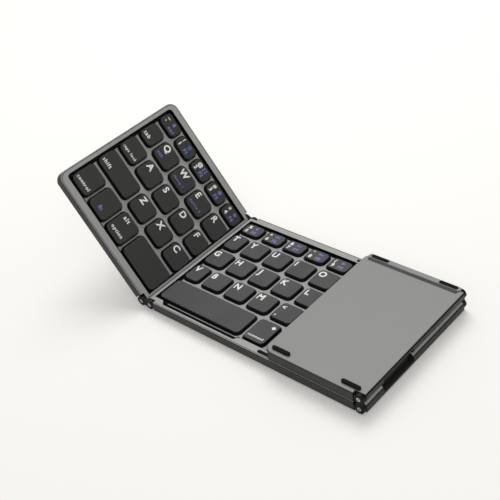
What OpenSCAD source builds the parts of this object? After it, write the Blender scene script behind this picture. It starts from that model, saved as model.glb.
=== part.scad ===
// Folding keyboard in three panels: a left and a centre panel with keys, and a
// right panel with a touch pad that folds over the centre one.
// Millimetres, +Z up, front towards -Y. The origin is the middle of the footprint, on the table.
// Every panel is drawn lying flat in its own frame: x from its left edge, y from its
// front edge, z from the bottom of its base plate. The place_ modules put it in the object.

/* [Panels] */
// Front to back depth of every panel
panel_depth = 98; // [94:1:110]
// Thickness of a panel, base plate to rim
panel_t = 6.4; // [6.2:0.1:7.4]
// Width of the left panel
left_w = 92.2; // [88:0.1:110]
// Width of the right panel
right_w = 66.2; // [60:0.1:80]
// Gap between two panels, both flat and folded
panel_gap = 0.4; // [0.3:0.05:1]
// Gap between the free edges of the side panels when both are folded in
closing_gap = 0.5; // [0.4:0.1:2]
// Corner radius of the free corners
corner_r = 6; // [3:0.5:8]
// Rounding along the free top edges
edge_r = 0.5; // [0.2:0.1:0.8]
// Rounding along the bottom of the lower shell
shell_edge_r = 0.6; // [0.3:0.1:1]

/* [Pose] */
// Tilt of the left panel at rest, in degrees
left_tilt = 53.5; // [30:0.5:80]

/* [Shell] */
// Thickness of the bonded base plate
base_plate_t = 0.5; // [0.3:0.1:0.6]
// Inset of the base plate from the outline
base_plate_inset = 0.5; // [0.4:0.1:1.5]
// Thickness of the lower shell's floor
shell_floor_t = 0.5; // [0.4:0.1:0.6]
// Thickness of the lower shell's side wall
shell_wall_t = 1.4; // [1:0.1:1.8]
// Height of the top frame
frame_h = 1.8; // [1.4:0.1:2]
// Thickness of the rib that carries the deck
rib_t = 0.65; // [0.5:0.05:0.7]
// Diameter of a post under the deck
post_d = 1.4; // [1:0.1:1.8]

/* [Rim] */
// Width of the front rim
rim_front = 5.3; // [5:0.1:5.5]
// Width of the back rim
rim_back = 4.8; // [4.2:0.1:5]
// Width of the rim along a free side
rim_outer = 3.2; // [2.8:0.1:3.4]
// Flat part of the rim along a hinge side
rim_hinge_flat = 0.6; // [0.4:0.1:0.7]
// Corner radius of the rim's inner edge
rim_inner_r = 2.4; // [1.5:0.1:3]
// Depth of the thumb relief in the centre panel's front rim
relief_depth = 3; // [2:0.1:3.2]
// Left end of the thumb relief, from the centre panel's left edge
relief_left = 10.5; // [10:0.5:14]
// Length of the thumb relief at the rim's inner edge
relief_len = 60.5; // [50:0.5:66]
// Length of the relief's slanted ends
relief_slant = 2.6; // [1.5:0.1:4]

/* [Deck] */
// Thickness of the key deck
deck_t = 0.6; // [0.4:0.1:0.7]
// Height of the rim above the deck
deck_drop = 2; // [1.9:0.1:2.1]
// Gap between the rim and the deck on the free sides
deck_gap = 0.4; // [0.3:0.05:0.5]
// Corner radius of the deck
deck_corner_r = 0.5; // [0.3:0.1:1]
// Gap between the deck's edge and the pins' plane along a hinge
deck_hinge_gap = 0.4; // [0.3:0.05:0.5]
// How far the deck reaches into the thumb relief
deck_tongue = 0.9; // [0.6:0.1:1.5]

/* [Keys] */
// Gap between the faces of two rows
row_gap = 3.85; // [3.7:0.05:4]
// Gap between the faces of letter keys
column_gap = 3.6; // [3.4:0.1:3.8]
// Gap between the faces in the number row
number_gap = 3.35; // [3.2:0.05:3.6]
// Gap between the faces in the left panel's front row
left_front_gap = 3.15; // [3.1:0.05:3.4]
// Gap between the half-height arrow keys
arrow_gap = 3; // [2.8:0.1:3.4]
// Distance from the front row's faces to the panel's front edge
key_field_front = 7.5; // [7.3:0.1:7.8]
// Distance from the number row's faces to the panel's back edge
key_field_back = 7; // [6.6:0.1:7.4]
// Left edge of the left panel's key faces, from its free edge
left_field_x = 5.2; // [5.1:0.1:5.6]
// Distance from the last key face to the left panel's hinge edge
left_field_end = 4.6; // [4.6:0.1:5]
// Distance from the key faces to the centre panel's edges
centre_field_x = 5; // [5:0.1:5.4]
// Depth of the key faces below the rim
key_drop = 0.1; // [0.05:0.05:0.3]
// Slope of a key's side walls, face to deck
key_side_draft = 0.4; // [0.2:0.05:0.4]
// Slope of a key's front wall
key_front_draft = 0.6; // [0.3:0.05:0.6]
// Slope of a key's back wall
key_back_draft = 0.2; // [0.1:0.05:0.3]
// Corner radius of a key
key_corner_r = 2.8; // [1.5:0.1:3]
// Thickness of a key's top
key_top_t = 0.9; // [0.7:0.1:1]
// Thickness of a key's skirt
key_wall_t = 0.8; // [0.6:0.1:1]
// Clearance between a key and the deck
key_clear = 0.3; // [0.2:0.05:0.35]
// Width of a lug that holds a key under the deck
lug_w = 3; // [2:0.2:4]
// Thickness of a lug
lug_t = 0.35; // [0.25:0.05:0.4]
// How far a lug reaches under the deck
lug_lap = 0.15; // [0.1:0.05:0.25]
// Travel of a key
key_travel = 1.2; // [1:0.1:1.2]
// Gap left under a key that is pressed fully
press_gap = 0.1; // [0.05:0.05:0.2]

/* [Domes and boards] */
// Thickness of the key circuit board
circuit_t = 0.7; // [0.5:0.1:0.7]
// Thickness of the dome sheet
sheet_t = 0.3; // [0.2:0.1:0.3]
// Foot diameter of a dome
dome_d = 5.6; // [4.6:0.1:5.8]
// Top diameter of a dome
dome_top_d = 2.6; // [2:0.1:3]
// Wall of a dome
dome_wall_t = 0.35; // [0.3:0.05:0.5]
// Height of a dome above the sheet
dome_h = 2.2; // [2:0.1:2.3]
// Clearance between a post and the holes it passes
post_clear = 0.3; // [0.2:0.1:0.5]
// Gap between the boards and what surrounds them
board_gap = 0.3; // [0.2:0.05:0.5]

/* [Hinges] */
// Diameter of a hinge pin
pin_d = 1.2; // [1:0.1:1.3]
// Diameter of a hinge pin's head
pin_head_d = 2.6; // [2:0.1:3]
// Thickness of a hinge pin's head
pin_head_t = 0.5; // [0.3:0.1:0.8]
// Radial clearance of a pin in its panel
pin_clear = 0.05; // [0.03:0.01:0.08]
// How far the solid bar that holds the pins reaches past the rim
beam_lap = 0.4; // [0.3:0.1:0.8]
// Thickness of a hinge link, front to back
link_t = 2.4; // [2:0.1:3]
// Inset of a link's rim from the panels' faces
link_inset = 0.15; // [0.1:0.05:0.4]
// Depth of a link's waist between its two pins
link_waist = 1.2; // [0.6:0.1:1.4]
// Clearance round a link in its notch
link_clear = 0.3; // [0.25:0.05:0.5]
// Length of the short pins inside the panel
pin_reach = 8; // [6:0.5:10]
// Front end of the cable cover, from the panel's front edge
cable_y = 18; // [16:0.5:20]
// Length of the cable cover
cable_len = 27; // [20:0.5:34]
// Reach of the cable cover outward from the pins' plane
cable_out = 0.8; // [0.8:0.1:1.4]
// Reach of the cable cover inward from the pins' plane
cable_in = 0.7; // [0.7:0.05:0.75]
// Reach of the cable cover past each pin
cable_end = 0.8; // [0.7:0.05:0.85]
// Gap round the cable cover and round the cable in it
cable_gap = 0.2; // [0.15:0.05:0.25]
// Corner radius of the cable cover
cable_corner_r = 0.6; // [0.4:0.05:0.7]
// Wall of the cable cover
cable_wall_t = 0.5; // [0.4:0.05:0.5]
// Length of the cable cover's closed ends
cable_cap_t = 2; // [1:0.1:4]
// Length of the cable cover's trunnions
trunnion_len = 4; // [3:0.5:5]
// Thickness of the flat cable
flat_cable_t = 0.3; // [0.2:0.05:0.4]

/* [Feet] */
// Height of the feet below the base plate
foot_h = 1.2; // [1.1:0.1:2]
// Height of the rubber pads on the foot bar
pad_h = 0.4; // [0.3:0.1:0.6]
// Width of the foot bar, front to back
bar_w = 3.4; // [3:0.1:4.5]
// Distance from the foot bar to the back edge
bar_inset = 0.1; // [0:0.1:1]
// Distance from the foot bar's ends to the panel's sides
bar_end_inset = 2.4; // [2.2:0.1:4]
// Length of a rubber pad
pad_len = 12; // [8:0.5:16]
// Width of a rubber pad
pad_w = 2.4; // [1.8:0.1:2.6]
// Distance from a pad's centre line to the front edge
pad_y = 4; // [4:0.1:5]
// Distance from a pad's end to the panel's side
pad_end_inset = 4.2; // [3.6:0.1:8]

/* [Bumpers] */
// Height of a bumper above the rim
bumper_h = 0.2; // [0.1:0.05:0.2]
// Depth of a bumper's pocket in the rim
bumper_seat = 0.6; // [0.4:0.1:0.8]
// Length of a bumper
bumper_len = 9; // [7:0.1:10]
// Width of a bumper
bumper_w = 2.2; // [1.6:0.1:2.2]
// Distance from a bumper's centre line to the panel's edge
bumper_y = 2.7; // [2.6:0.1:3]
// How far the left bumpers reach out past the free edge of the folded right panel
bumper_reach = 6.5; // [2:0.1:7]

/* [Touch pad and electronics] */
// Distance from the touch pad's sides to the rims
touch_margin_x = 3.6; // [2:0.2:6]
// Distance from the touch pad to the front and back edges
touch_margin_y = 10; // [8:0.5:18]
// Depth of the touch pad below the rim
touch_drop = 0.3; // [0.2:0.1:0.6]
// Thickness of the touch pad
touch_t = 0.8; // [0.6:0.1:1]
// Gap between the touch pad and its frame
touch_gap = 0.3; // [0.2:0.05:0.5]
// Thickness of the touch pad's board
touch_board_t = 0.6; // [0.4:0.1:0.8]
// How far the touch pad's board reaches past the pad
touch_board_lap = 1.5; // [1:0.1:2]
// Distance from the battery to the sides of the pad's seat
battery_margin = 5; // [2:0.5:8]
// Thickness of the battery
battery_t = 2.6; // [2:0.1:2.8]
// Corner radius of the battery
battery_corner_r = 1.5; // [0.5:0.5:3]
// Corner radius of the boards
board_corner_r = 1; // [0.5:0.1:1.4]
// Distance from the main board to the sides of the pad's seat
main_board_margin = 4; // [2:0.5:6]
// Distance between the battery, the main board and the ends of the pad's seat
inner_gap = 2; // [1:0.5:3]
// Depth of the main board
main_board_d = 24; // [16:1:26]
// Thickness of the main board
main_board_t = 0.8; // [0.6:0.1:1]
// Height of the posts under the main board
board_post_h = 0.6; // [0.3:0.1:0.8]
// Diameter of the posts under the main board
board_post_d = 3; // [2:0.2:4]
// Distance from those posts to the main board's edges
board_post_inset = 3; // [2:0.2:4]
// Height of the chips on the main board
chip_h = 1; // [0.6:0.1:1.2]
// Side of a chip on the main board
chip_w = 7; // [5:0.5:9]
// Width of the charging socket
socket_w = 7.6; // [7:0.1:9]
// Height of the charging socket
socket_h = 2.8; // [2.4:0.1:3]
// Length of the charging socket
socket_len = 5.6; // [5:0.1:7]
// Corner radius of the charging socket
socket_corner_r = 1.1; // [0.8:0.1:1.3]
// Distance from the socket's mouth to the back edge
socket_inset = 0.2; // [0.1:0.1:0.4]
// Wall of the charging socket
socket_wall_t = 0.35; // [0.25:0.05:0.5]
// Place of the charging socket, from the hinge edge
socket_x = 40; // [30:1:50]

/* [Hidden] */
$fn = 48;
CUT = 0.5; // how far a cut runs past a face

LEFT_KEY_ROWS = [
    ["control_key", "function_key", "alternate_key", "left_space_key"],
    ["left_shift_key", "z_key", "x_key", "c_key"],
    ["caps_key", "a_key", "s_key", "d_key", "f_key"],
    ["tab_key", "q_key", "w_key", "e_key", "r_key"],
    ["grave_key", "one_key", "two_key", "three_key", "four_key"]];
CENTRE_KEY_ROWS = ["centre_front_keys", "centre_lower_keys", "centre_home_keys",
    "centre_upper_keys", "centre_number_keys"];
SPACE_ROW = 0; // its first key on the centre panel is a node of its own
ENTER_ROW = 2; // its last key on the centre panel is a node of its own

// Colours, as the photograph shows them
FRAME_COLOR = [0.66, 0.66, 0.66];
SHELL_COLOR = [0.24, 0.24, 0.24];
KEY_COLOR = [0.2, 0.2, 0.2];
RUBBER_COLOR = [0.06, 0.06, 0.06];
STEEL_COLOR = [0.8, 0.8, 0.8];
BOARD_COLOR = [0.1, 0.3, 0.2];
DOME_COLOR = [0.7, 0.7, 0.65];
TOUCH_COLOR = [0.3, 0.3, 0.3];
FOIL_COLOR = [0.55, 0.55, 0.58];
FILM_COLOR = [0.75, 0.5, 0.15];

// Heights in a panel's own frame
seam_z = panel_t - frame_h;
shell_floor_z = base_plate_t + shell_floor_t;
circuit_top_z = shell_floor_z + circuit_t;
sheet_top_z = circuit_top_z + sheet_t;
dome_top_z = sheet_top_z + dome_h;
deck_top_z = panel_t - deck_drop;
deck_z = deck_top_z - deck_t;
key_face_z = panel_t - key_drop;
key_skirt_z = sheet_top_z + key_travel + press_gap;
key_cavity_z = key_face_z - key_top_t;
lug_root = key_wall_t / 2; // a lug starts inside the skirt
pin_z = panel_t / 2;

// Widths and places along a panel
centre_w = left_w + right_w + closing_gap;
hinge_r = panel_t / 2;
rim_hinge = hinge_r + rim_hinge_flat;
pin_span = panel_t + panel_gap;
link_r = hinge_r - link_inset;
notch_len = 2 * hinge_r + link_clear;
notch_d = link_t + link_clear;
pin_bore_d = pin_d + 2 * pin_clear;
beam_w = rim_hinge + beam_lap;
deck_hinge_x = hinge_r + deck_hinge_gap;
deck_front_y = rim_front + deck_gap;
deck_back_y = panel_depth - rim_back - deck_gap;
cable_notch_y = [cable_y - link_clear, cable_y + cable_len + link_clear];
cable_notch_x = hinge_r + max(cable_end, cable_in) + cable_gap;

bar_h = foot_h - pad_h;
bar_y_middle = panel_depth - base_plate_inset - bar_inset - bar_w / 2;

// Places of the hinge pins in the object, before it is centred
left_pin_inner = [hinge_r, foot_h + pin_z];
left_pin_outer = [hinge_r - pin_span, foot_h + pin_z];
right_pin_inner = [centre_w - hinge_r, foot_h + pin_z];
right_pin_outer = [centre_w - hinge_r, foot_h + pin_z + pin_span];

// The object's lowest x is the bottom edge of the tilted left panel: its shell or its foot bar
left_arm = left_w - hinge_r;
shell_edge_x = left_pin_outer[0] - (left_arm - shell_edge_r) * cos(left_tilt)
    - (pin_z - base_plate_t - shell_edge_r) * sin(left_tilt) - shell_edge_r;
bar_edge_x = left_pin_outer[0] - (left_arm - bar_end_inset) * cos(left_tilt)
    - (pin_z + foot_h) * sin(left_tilt);
plate_edge_x = left_pin_outer[0] - (left_arm - base_plate_inset) * cos(left_tilt)
    - pin_z * sin(left_tilt);
object_min_x = min(shell_edge_x, bar_edge_x, plate_edge_x);
origin_x = (object_min_x + centre_w) / 2;

function sum_to(list, count) = count == 0 ? 0 : list[count - 1] + sum_to(list, count - 1);

// Rows of keys, front to back. Their depths share the key field: the letter rows count 1 each.
ROW_SHARES = [1.261, 1, 1, 1, 0.674];
row_count = len(ROW_SHARES);
rows_room = panel_depth - key_field_front - key_field_back - (row_count - 1) * row_gap;
row_depths = [for (share = ROW_SHARES) share * rows_room / sum_to(ROW_SHARES, row_count)];
function row_y(row) = key_field_front + sum_to(row_depths, row) + row * row_gap;

// Each row's gap and the shares of its keys in the row's width; a letter key counts 1
LEFT_ROWS = [
    [left_front_gap, [1, 1, 1, 2.101]],
    [column_gap, [2.007, 1, 1, 1]],
    [column_gap, [1, 1, 1, 0.881, 0.874]],
    [column_gap, [0.755, 1, 1, 1, 1]],
    [number_gap, [1, 1, 1, 1, 1]]];
CENTRE_ROWS = [
    [column_gap, [4.35, 1, 1, 3.308]],
    [column_gap, [0.748, 1, 1, 1, 1, 1, 1, 1.902]],
    [column_gap, [1, 1, 1, 1, 1, 1, 1, 1.65]],
    [column_gap, [0.748, 1, 1, 1, 1, 1, 1, 1, 0.65]],
    [number_gap, [1, 1, 1, 1, 1, 1, 1, 1, 0.945]]];

// Keys of a row as [x, y, width, depth] of their faces, from start_x to end_x
function row_keys(rows, row, start_x, end_x) =
    let (gap = rows[row][0], shares = rows[row][1], count = len(shares),
        unit = (end_x - start_x - (count - 1) * gap) / sum_to(shares, count))
    [for (i = [0:count - 1])
        [start_x + sum_to(shares, i) * unit + i * gap, row_y(row),
            shares[i] * unit, row_depths[row]]];
// The last stretch of the centre panel's front row holds four arrow keys in three columns
function arrow_keys(stretch) =
    let (w = (stretch[2] - 2 * column_gap) / 3, pitch = w + column_gap,
        d = (stretch[3] - arrow_gap) / 2, back_y = stretch[1] + d + arrow_gap)
    [[stretch[0], stretch[1], w, d],
        [stretch[0] + pitch, stretch[1], w, d],
        [stretch[0] + pitch, back_y, w, d],
        [stretch[0] + 2 * pitch, stretch[1], w, d]];
function left_keys(row) = row_keys(LEFT_ROWS, row, left_field_x, left_w - left_field_end);
function centre_keys(row) =
    let (keys = row_keys(CENTRE_ROWS, row, centre_field_x, centre_w - centre_field_x),
        count = len(keys))
    row > 0 ? keys : concat([for (i = [0:count - 2]) keys[i]], arrow_keys(keys[count - 1]));
all_left_keys = [for (row = [0:row_count - 1]) each left_keys(row)];
all_centre_keys = [for (row = [0:row_count - 1]) each centre_keys(row)];

// A centre row without the key that is a node of its own
function grouped_keys(row) =
    let (keys = centre_keys(row), first = row == SPACE_ROW ? 1 : 0,
        last = len(keys) - (row == ENTER_ROW ? 2 : 1))
    [for (i = [first:last]) keys[i]];

// Posts under the deck stand in the gaps between rows
function post_places(columns) =
    [for (row = [1:row_count - 1], x = columns) [x, row_y(row) - row_gap / 2]];
left_posts = post_places([for (i = [1:3]) left_w * i / 4]);
centre_posts = post_places([for (i = [1:5]) centre_w * i / 6]);

// A rectangle with its own radius at each corner: [front left, front right, back right, back left]
module corner_rect(from, to, radii) {
    size = to - from;
    difference() {
        translate(from) square(size);
        corner_bite(from, [1, 1], radii[0]);
        corner_bite([to[0], from[1]], [-1, 1], radii[1]);
        corner_bite(to, [-1, -1], radii[2]);
        corner_bite([from[0], to[1]], [1, -1], radii[3]);
    }
}

function bite_start(corner, inward, r) = inward > 0 ? corner - CUT : corner - r;
module corner_bite(corner, inward, r) {
    if (r > 0)
        difference() {
            translate([bite_start(corner[0], inward[0], r), bite_start(corner[1], inward[1], r)])
                square(r + CUT);
            translate(corner + inward * r) circle(r = r);
        }
}

// The same rectangle with one radius all round, as a plate
module plate(from, to, r, z, t) {
    translate([0, 0, z])
        linear_extrude(t)
            corner_rect(from, to, [r, r, r, r]);
}

// A stadium in plan, lying along x
module stadium(x0, x1, y, w, z, h) {
    r = w / 2;
    translate([0, 0, z])
        linear_extrude(h) {
            translate([x0 + r, y - r]) square([x1 - x0 - w, w]);
            translate([x0 + r, y]) circle(r = r);
            translate([x1 - r, y]) circle(r = r);
        }
}

// A round bar along y
module bar_y(x, z, d, y0, y1) {
    translate([x, y0, z])
        rotate([-90, 0, 0])
            cylinder(d = d, h = y1 - y0);
}

// Outline and edge profiles of a panel; hinge sides have the quarter-round edge
module panel_blank(w, left_hinge, right_hinge, z0, z1) {
    left_r = left_hinge ? 0 : corner_r;
    right_r = right_hinge ? 0 : corner_r;
    intersection() {
        translate([0, 0, z0])
            linear_extrude(z1 - z0)
                corner_rect([0, 0], [w, panel_depth], [left_r, right_r, right_r, left_r]);
        translate([0, panel_depth, 0])
            rotate([90, 0, 0])
                linear_extrude(panel_depth)
                    corner_rect([0, base_plate_t], [w, panel_t],
                        [shell_edge_r, shell_edge_r,
                            right_hinge ? hinge_r : edge_r, left_hinge ? hinge_r : edge_r]);
        rotate([90, 0, 90])
            linear_extrude(w)
                corner_rect([0, base_plate_t], [panel_depth, panel_t],
                    [shell_edge_r, shell_edge_r, edge_r, edge_r]);
    }
}

// Does something at the panel's left edge, its right edge or both
module at_edges(w, left_hinge, right_hinge) {
    if (left_hinge) children();
    if (right_hinge) translate([w, 0, 0]) mirror([1, 0, 0]) children();
}

// Notches for the links at the two ends of a hinge edge at x = 0
module link_notches() {
    size = [notch_len + CUT, notch_d + CUT, panel_t + 2 * CUT];
    translate([-CUT, -CUT, -CUT]) cube(size);
    translate([-CUT, panel_depth - notch_d, -CUT]) cube(size);
}

// Notch for the cable cover in a hinge edge at x = 0
module cable_notch() {
    floor_z = pin_z - cable_out - cable_gap;
    translate([-CUT, cable_notch_y[0], floor_z])
        cube([cable_notch_x + CUT, cable_notch_y[1] - cable_notch_y[0], panel_t]);
}

module pin_bores() {
    bar_y(hinge_r, pin_z, pin_bore_d, notch_d - CUT, link_t + pin_reach);
    bar_y(hinge_r, pin_z, pin_bore_d, panel_depth - link_t - pin_reach,
        panel_depth - notch_d + CUT);
}

module trunnion_bores() {
    bar_y(hinge_r, pin_z, pin_bore_d, cable_y - trunnion_len - link_clear, cable_y);
    bar_y(hinge_r, pin_z, pin_bore_d, cable_y + cable_len,
        cable_y + cable_len + trunnion_len + link_clear);
}

// Solid that holds the pins along a hinge edge at x = 0
module hinge_beam() {
    corner_len = notch_len + shell_wall_t;
    corner_d = deck_front_y + rib_t;
    cube([beam_w, panel_depth, seam_z]);
    cube([corner_len, corner_d, seam_z]);
    translate([0, panel_depth - (rim_back + deck_gap + rib_t), 0])
        cube([corner_len, rim_back + deck_gap + rib_t, seam_z]);
}

// Room for the deck's edge, above the beams and between the rims
module deck_room(w, left_hinge, right_hinge) {
    x0 = left_hinge ? deck_hinge_x : rim_outer;
    x1 = w - (right_hinge ? deck_hinge_x : rim_outer);
    translate([x0, rim_front, deck_z])
        cube([x1 - x0, panel_depth - rim_front - rim_back, panel_t]);
}

// Lower shell: floor, side walls, hinge beams, bores and notches.
// Its children are ribs, posts and seats that stand on the floor.
module lower_shell(w, left_hinge, right_hinge, cable_left, cable_right) {
    color(SHELL_COLOR)
        difference() {
            intersection() {
                panel_blank(w, left_hinge, right_hinge, base_plate_t, seam_z);
                union() {
                    difference() {
                        cube([w, panel_depth, seam_z]);
                        translate([shell_wall_t, shell_wall_t, shell_floor_z])
                            cube([w - 2 * shell_wall_t, panel_depth - 2 * shell_wall_t, panel_t]);
                    }
                    at_edges(w, left_hinge, right_hinge) hinge_beam();
                    if (!left_hinge || !right_hinge)
                        free_corner_fill(w, left_hinge, right_hinge);
                    children();
                }
            }
            deck_room(w, left_hinge, right_hinge);
            at_edges(w, left_hinge, right_hinge) {
                link_notches();
                pin_bores();
            }
            at_edges(w, cable_left, cable_right) {
                cable_notch();
                trunnion_bores();
            }
        }
}

// Solid corners behind the rounded free corners
module free_corner_fill(w, left_hinge, right_hinge) {
    at_edges(w, !left_hinge, !right_hinge)
        for (y = [0, panel_depth - corner_r / 2])
            translate([0, y, 0]) cube([corner_r / 2, corner_r / 2, seam_z]);
}

// Rib under the deck's free edges and posts between the rows
module deck_supports(w, left_hinge, right_hinge, posts) {
    x0 = left_hinge ? 0 : rim_outer + deck_gap;
    x1 = w - (right_hinge ? 0 : rim_outer + deck_gap);
    inner_x0 = left_hinge ? 0 : x0 + rib_t;
    inner_x1 = right_hinge ? w : x1 - rib_t;
    difference() {
        translate([x0, deck_front_y, 0]) cube([x1 - x0, deck_back_y - deck_front_y, deck_z]);
        translate([inner_x0 - (left_hinge ? CUT : 0), deck_front_y + rib_t, -CUT])
            cube([inner_x1 - inner_x0 + (left_hinge ? CUT : 0) + (right_hinge ? CUT : 0),
                deck_back_y - deck_front_y - 2 * rib_t, panel_t]);
    }
    for (p = posts)
        translate([p[0], p[1], 0]) cylinder(d = post_d, h = deck_z);
}

// Base plate with the raised foot bar along its back edge
module base_plate(w, left_hinge, right_hinge) {
    i = base_plate_inset;
    left_r = left_hinge ? 0 : corner_r - i;
    right_r = right_hinge ? 0 : corner_r - i;
    color(FRAME_COLOR) {
        difference() {
            linear_extrude(base_plate_t)
                corner_rect([i, i], [w - i, panel_depth - i], [left_r, right_r, right_r, left_r]);
            at_edges(w, left_hinge, right_hinge) link_notches();
        }
        stadium(bar_end_inset, w - bar_end_inset, bar_y_middle, bar_w, -bar_h, bar_h);
    }
}

// Top frame: the light rim round the keys or the touch pad.
// Its children are cut out of it.
module top_frame(w, left_hinge, right_hinge, cable_left, cable_right) {
    color(FRAME_COLOR)
        difference() {
            panel_blank(w, left_hinge, right_hinge, seam_z, panel_t);
            at_edges(w, left_hinge, right_hinge) link_notches();
            at_edges(w, cable_left, cable_right) cable_notch();
            children();
        }
}

module key_opening(w, left_hinge, right_hinge) {
    x0 = left_hinge ? rim_hinge : rim_outer;
    x1 = w - (right_hinge ? rim_hinge : rim_outer);
    left_r = left_hinge ? 0 : rim_inner_r;
    right_r = right_hinge ? 0 : rim_inner_r;
    translate([0, 0, -CUT])
        linear_extrude(panel_t + 2 * CUT)
            corner_rect([x0, rim_front], [x1, panel_depth - rim_back],
                [left_r, right_r, right_r, left_r]);
}

// Thumb relief in the front rim: a slot whose ends slant inward
module thumb_relief() {
    y0 = rim_front - relief_depth;
    y1 = rim_front + CUT;
    x0 = relief_left;
    x1 = relief_left + relief_len;
    slant = relief_slant;
    translate([0, 0, -CUT])
        linear_extrude(panel_t + 2 * CUT)
            polygon([[x0 + slant, y0], [x1 - slant, y0], [x1 - slant / 3, rim_front - slant / 3],
                [x1, rim_front], [x1, y1], [x0, y1], [x0, rim_front],
                [x0 + slant / 3, rim_front - slant / 3]]);
}

// Base rectangle of a key, where it passes the deck: [from, to]
function key_base(k, grow = 0) = [
    [k[0] - key_side_draft - grow, k[1] - key_front_draft - grow],
    [k[0] + k[2] + key_side_draft + grow, k[1] + k[3] + key_back_draft + grow]];
function key_middle(k) = [k[0] + k[2] / 2, k[1] + k[3] / 2];

module key_deck(w, left_hinge, right_hinge, keys) {
    x0 = left_hinge ? deck_hinge_x : rim_outer + deck_gap;
    x1 = w - (right_hinge ? deck_hinge_x : rim_outer + deck_gap);
    color(FRAME_COLOR)
        difference() {
            union() {
                plate([x0, deck_front_y], [x1, deck_back_y], deck_corner_r, deck_z, deck_t);
                children();
            }
            for (k = keys) {
                hole = key_base(k, key_clear);
                plate(hole[0], hole[1], key_corner_r + key_clear, deck_z - CUT, deck_t + 2 * CUT);
            }
        }
}

// A keycap: drafted walls, hollow below, a plunger over its dome and lugs under the deck
module key(k) {
    base = key_base(k);
    size = base[1] - base[0];
    intersection() {
        plate(base[0], base[1], key_corner_r, key_skirt_z, key_face_z - key_skirt_z);
        translate([0, base[1][1] + CUT, 0])
            rotate([90, 0, 0])
                linear_extrude(size[1] + 2 * CUT)
                    key_profile(k[0], k[0] + k[2], key_side_draft, key_side_draft);
        translate([base[0][0] - CUT, 0, 0])
            rotate([90, 0, 90])
                linear_extrude(size[0] + 2 * CUT)
                    key_profile(k[1], k[1] + k[3], key_front_draft, key_back_draft);
    }
}

// Leaning walls of a key, which meet its upright skirt at the deck's top
function lean(draft) = draft * (key_face_z - key_skirt_z) / (key_face_z - deck_top_z);
module key_profile(from, to, from_draft, to_draft) {
    polygon([[from - lean(from_draft), key_skirt_z], [to + lean(to_draft), key_skirt_z],
        [to, key_face_z], [from, key_face_z]]);
}

module keycap(k) {
    base = key_base(k);
    inset = [key_wall_t, key_wall_t];
    middle = key_middle(k);
    lug = [lug_w, lug_root + key_clear + lug_lap, lug_t];
    color(KEY_COLOR) {
        difference() {
            key(k);
            plate(base[0] + inset, base[1] - inset, key_corner_r - key_wall_t,
                key_skirt_z - CUT, key_cavity_z - key_skirt_z + CUT);
        }
        translate([middle[0], middle[1], dome_top_z])
            cylinder(d = dome_top_d, h = key_cavity_z - dome_top_z);
        for (y = [base[0][1] + lug_root - lug[1], base[1][1] - lug_root])
            translate([middle[0] - lug[0] / 2, y, key_skirt_z]) cube(lug);
    }
}

module keycaps(keys) {
    for (k = keys) keycap(k);
}

// Rubber sheet with one hollow dome under each key
module dome_sheet(w, left_hinge, right_hinge, keys, posts) {
    color(DOME_COLOR)
        difference() {
            union() {
                board(w, left_hinge, right_hinge, posts, circuit_top_z, sheet_t);
                for (k = keys)
                    translate([key_middle(k)[0], key_middle(k)[1], sheet_top_z])
                        cylinder(d1 = dome_d, d2 = dome_top_d, h = dome_h);
            }
            for (k = keys)
                translate([key_middle(k)[0], key_middle(k)[1], circuit_top_z - CUT])
                    cylinder(d1 = dome_d - 2 * dome_wall_t + CUT, d2 = dome_top_d - 2 * dome_wall_t,
                        h = sheet_t + dome_h - 2 * dome_wall_t + CUT);
        }
}

// A board that fills the shell's floor inside the ribs, with holes for the posts
module board(w, left_hinge, right_hinge, posts, z, t) {
    x0 = (left_hinge ? beam_w : rim_outer + deck_gap + rib_t) + board_gap;
    x1 = w - (right_hinge ? beam_w : rim_outer + deck_gap + rib_t) - board_gap;
    y0 = deck_front_y + rib_t + board_gap;
    y1 = deck_back_y - rib_t - board_gap;
    difference() {
        plate([x0, y0], [x1, y1], board_corner_r, z, t);
        at_edges(w, left_hinge, right_hinge)
            for (y = [0, y1 - board_gap])
                translate([0, y, 0])
                    cube([notch_len + shell_wall_t + board_gap, y0 + board_gap, panel_t]);
        for (p = posts)
            translate([p[0], p[1], z - CUT]) cylinder(d = post_d + 2 * post_clear, h = t + 2 * CUT);
    }
}

// Rubber pads under a panel: two in front, two on the foot bar
module feet(w) {
    color(RUBBER_COLOR)
        for (x = [pad_end_inset, w - pad_end_inset - pad_len]) {
            stadium(x, x + pad_len, pad_y, pad_w, -foot_h, foot_h);
            stadium(x, x + pad_len, bar_y_middle, pad_w, -foot_h, pad_h);
        }
}

// Places a panel's own frame in the object
module place_centre() {
    translate([-origin_x, -panel_depth / 2, foot_h]) children();
}

module place_left() {
    translate([left_pin_outer[0] - origin_x, -panel_depth / 2, left_pin_outer[1]])
        rotate([0, left_tilt, 0])
            translate([-left_arm, 0, -pin_z]) children();
}

module place_right() {
    translate([right_pin_outer[0] - origin_x, -panel_depth / 2, right_pin_outer[1]])
        rotate([0, 180, 0])
            translate([-hinge_r, 0, -pin_z]) children();
}

// A link's own frame: the inner pin at the origin, the outer one at x = pin_span,
// the keys' side towards +Z
module place_left_link() {
    translate([left_pin_inner[0] - origin_x, -panel_depth / 2, left_pin_inner[1]])
        mirror([1, 0, 0]) children();
}

module place_right_link() {
    translate([right_pin_inner[0] - origin_x, -panel_depth / 2, right_pin_inner[1]])
        rotate([0, -90, 0]) children();
}

module centre_lower_shell() {
    place_centre()
        lower_shell(centre_w, true, true, false, true)
            deck_supports(centre_w, true, true, centre_posts);
}

module centre_base_plate() {
    place_centre() base_plate(centre_w, true, true);
}

module centre_top_frame() {
    place_centre()
        top_frame(centre_w, true, true, false, true) {
            key_opening(centre_w, true, true);
            thumb_relief();
            bumper_seats();
        }
}

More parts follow.
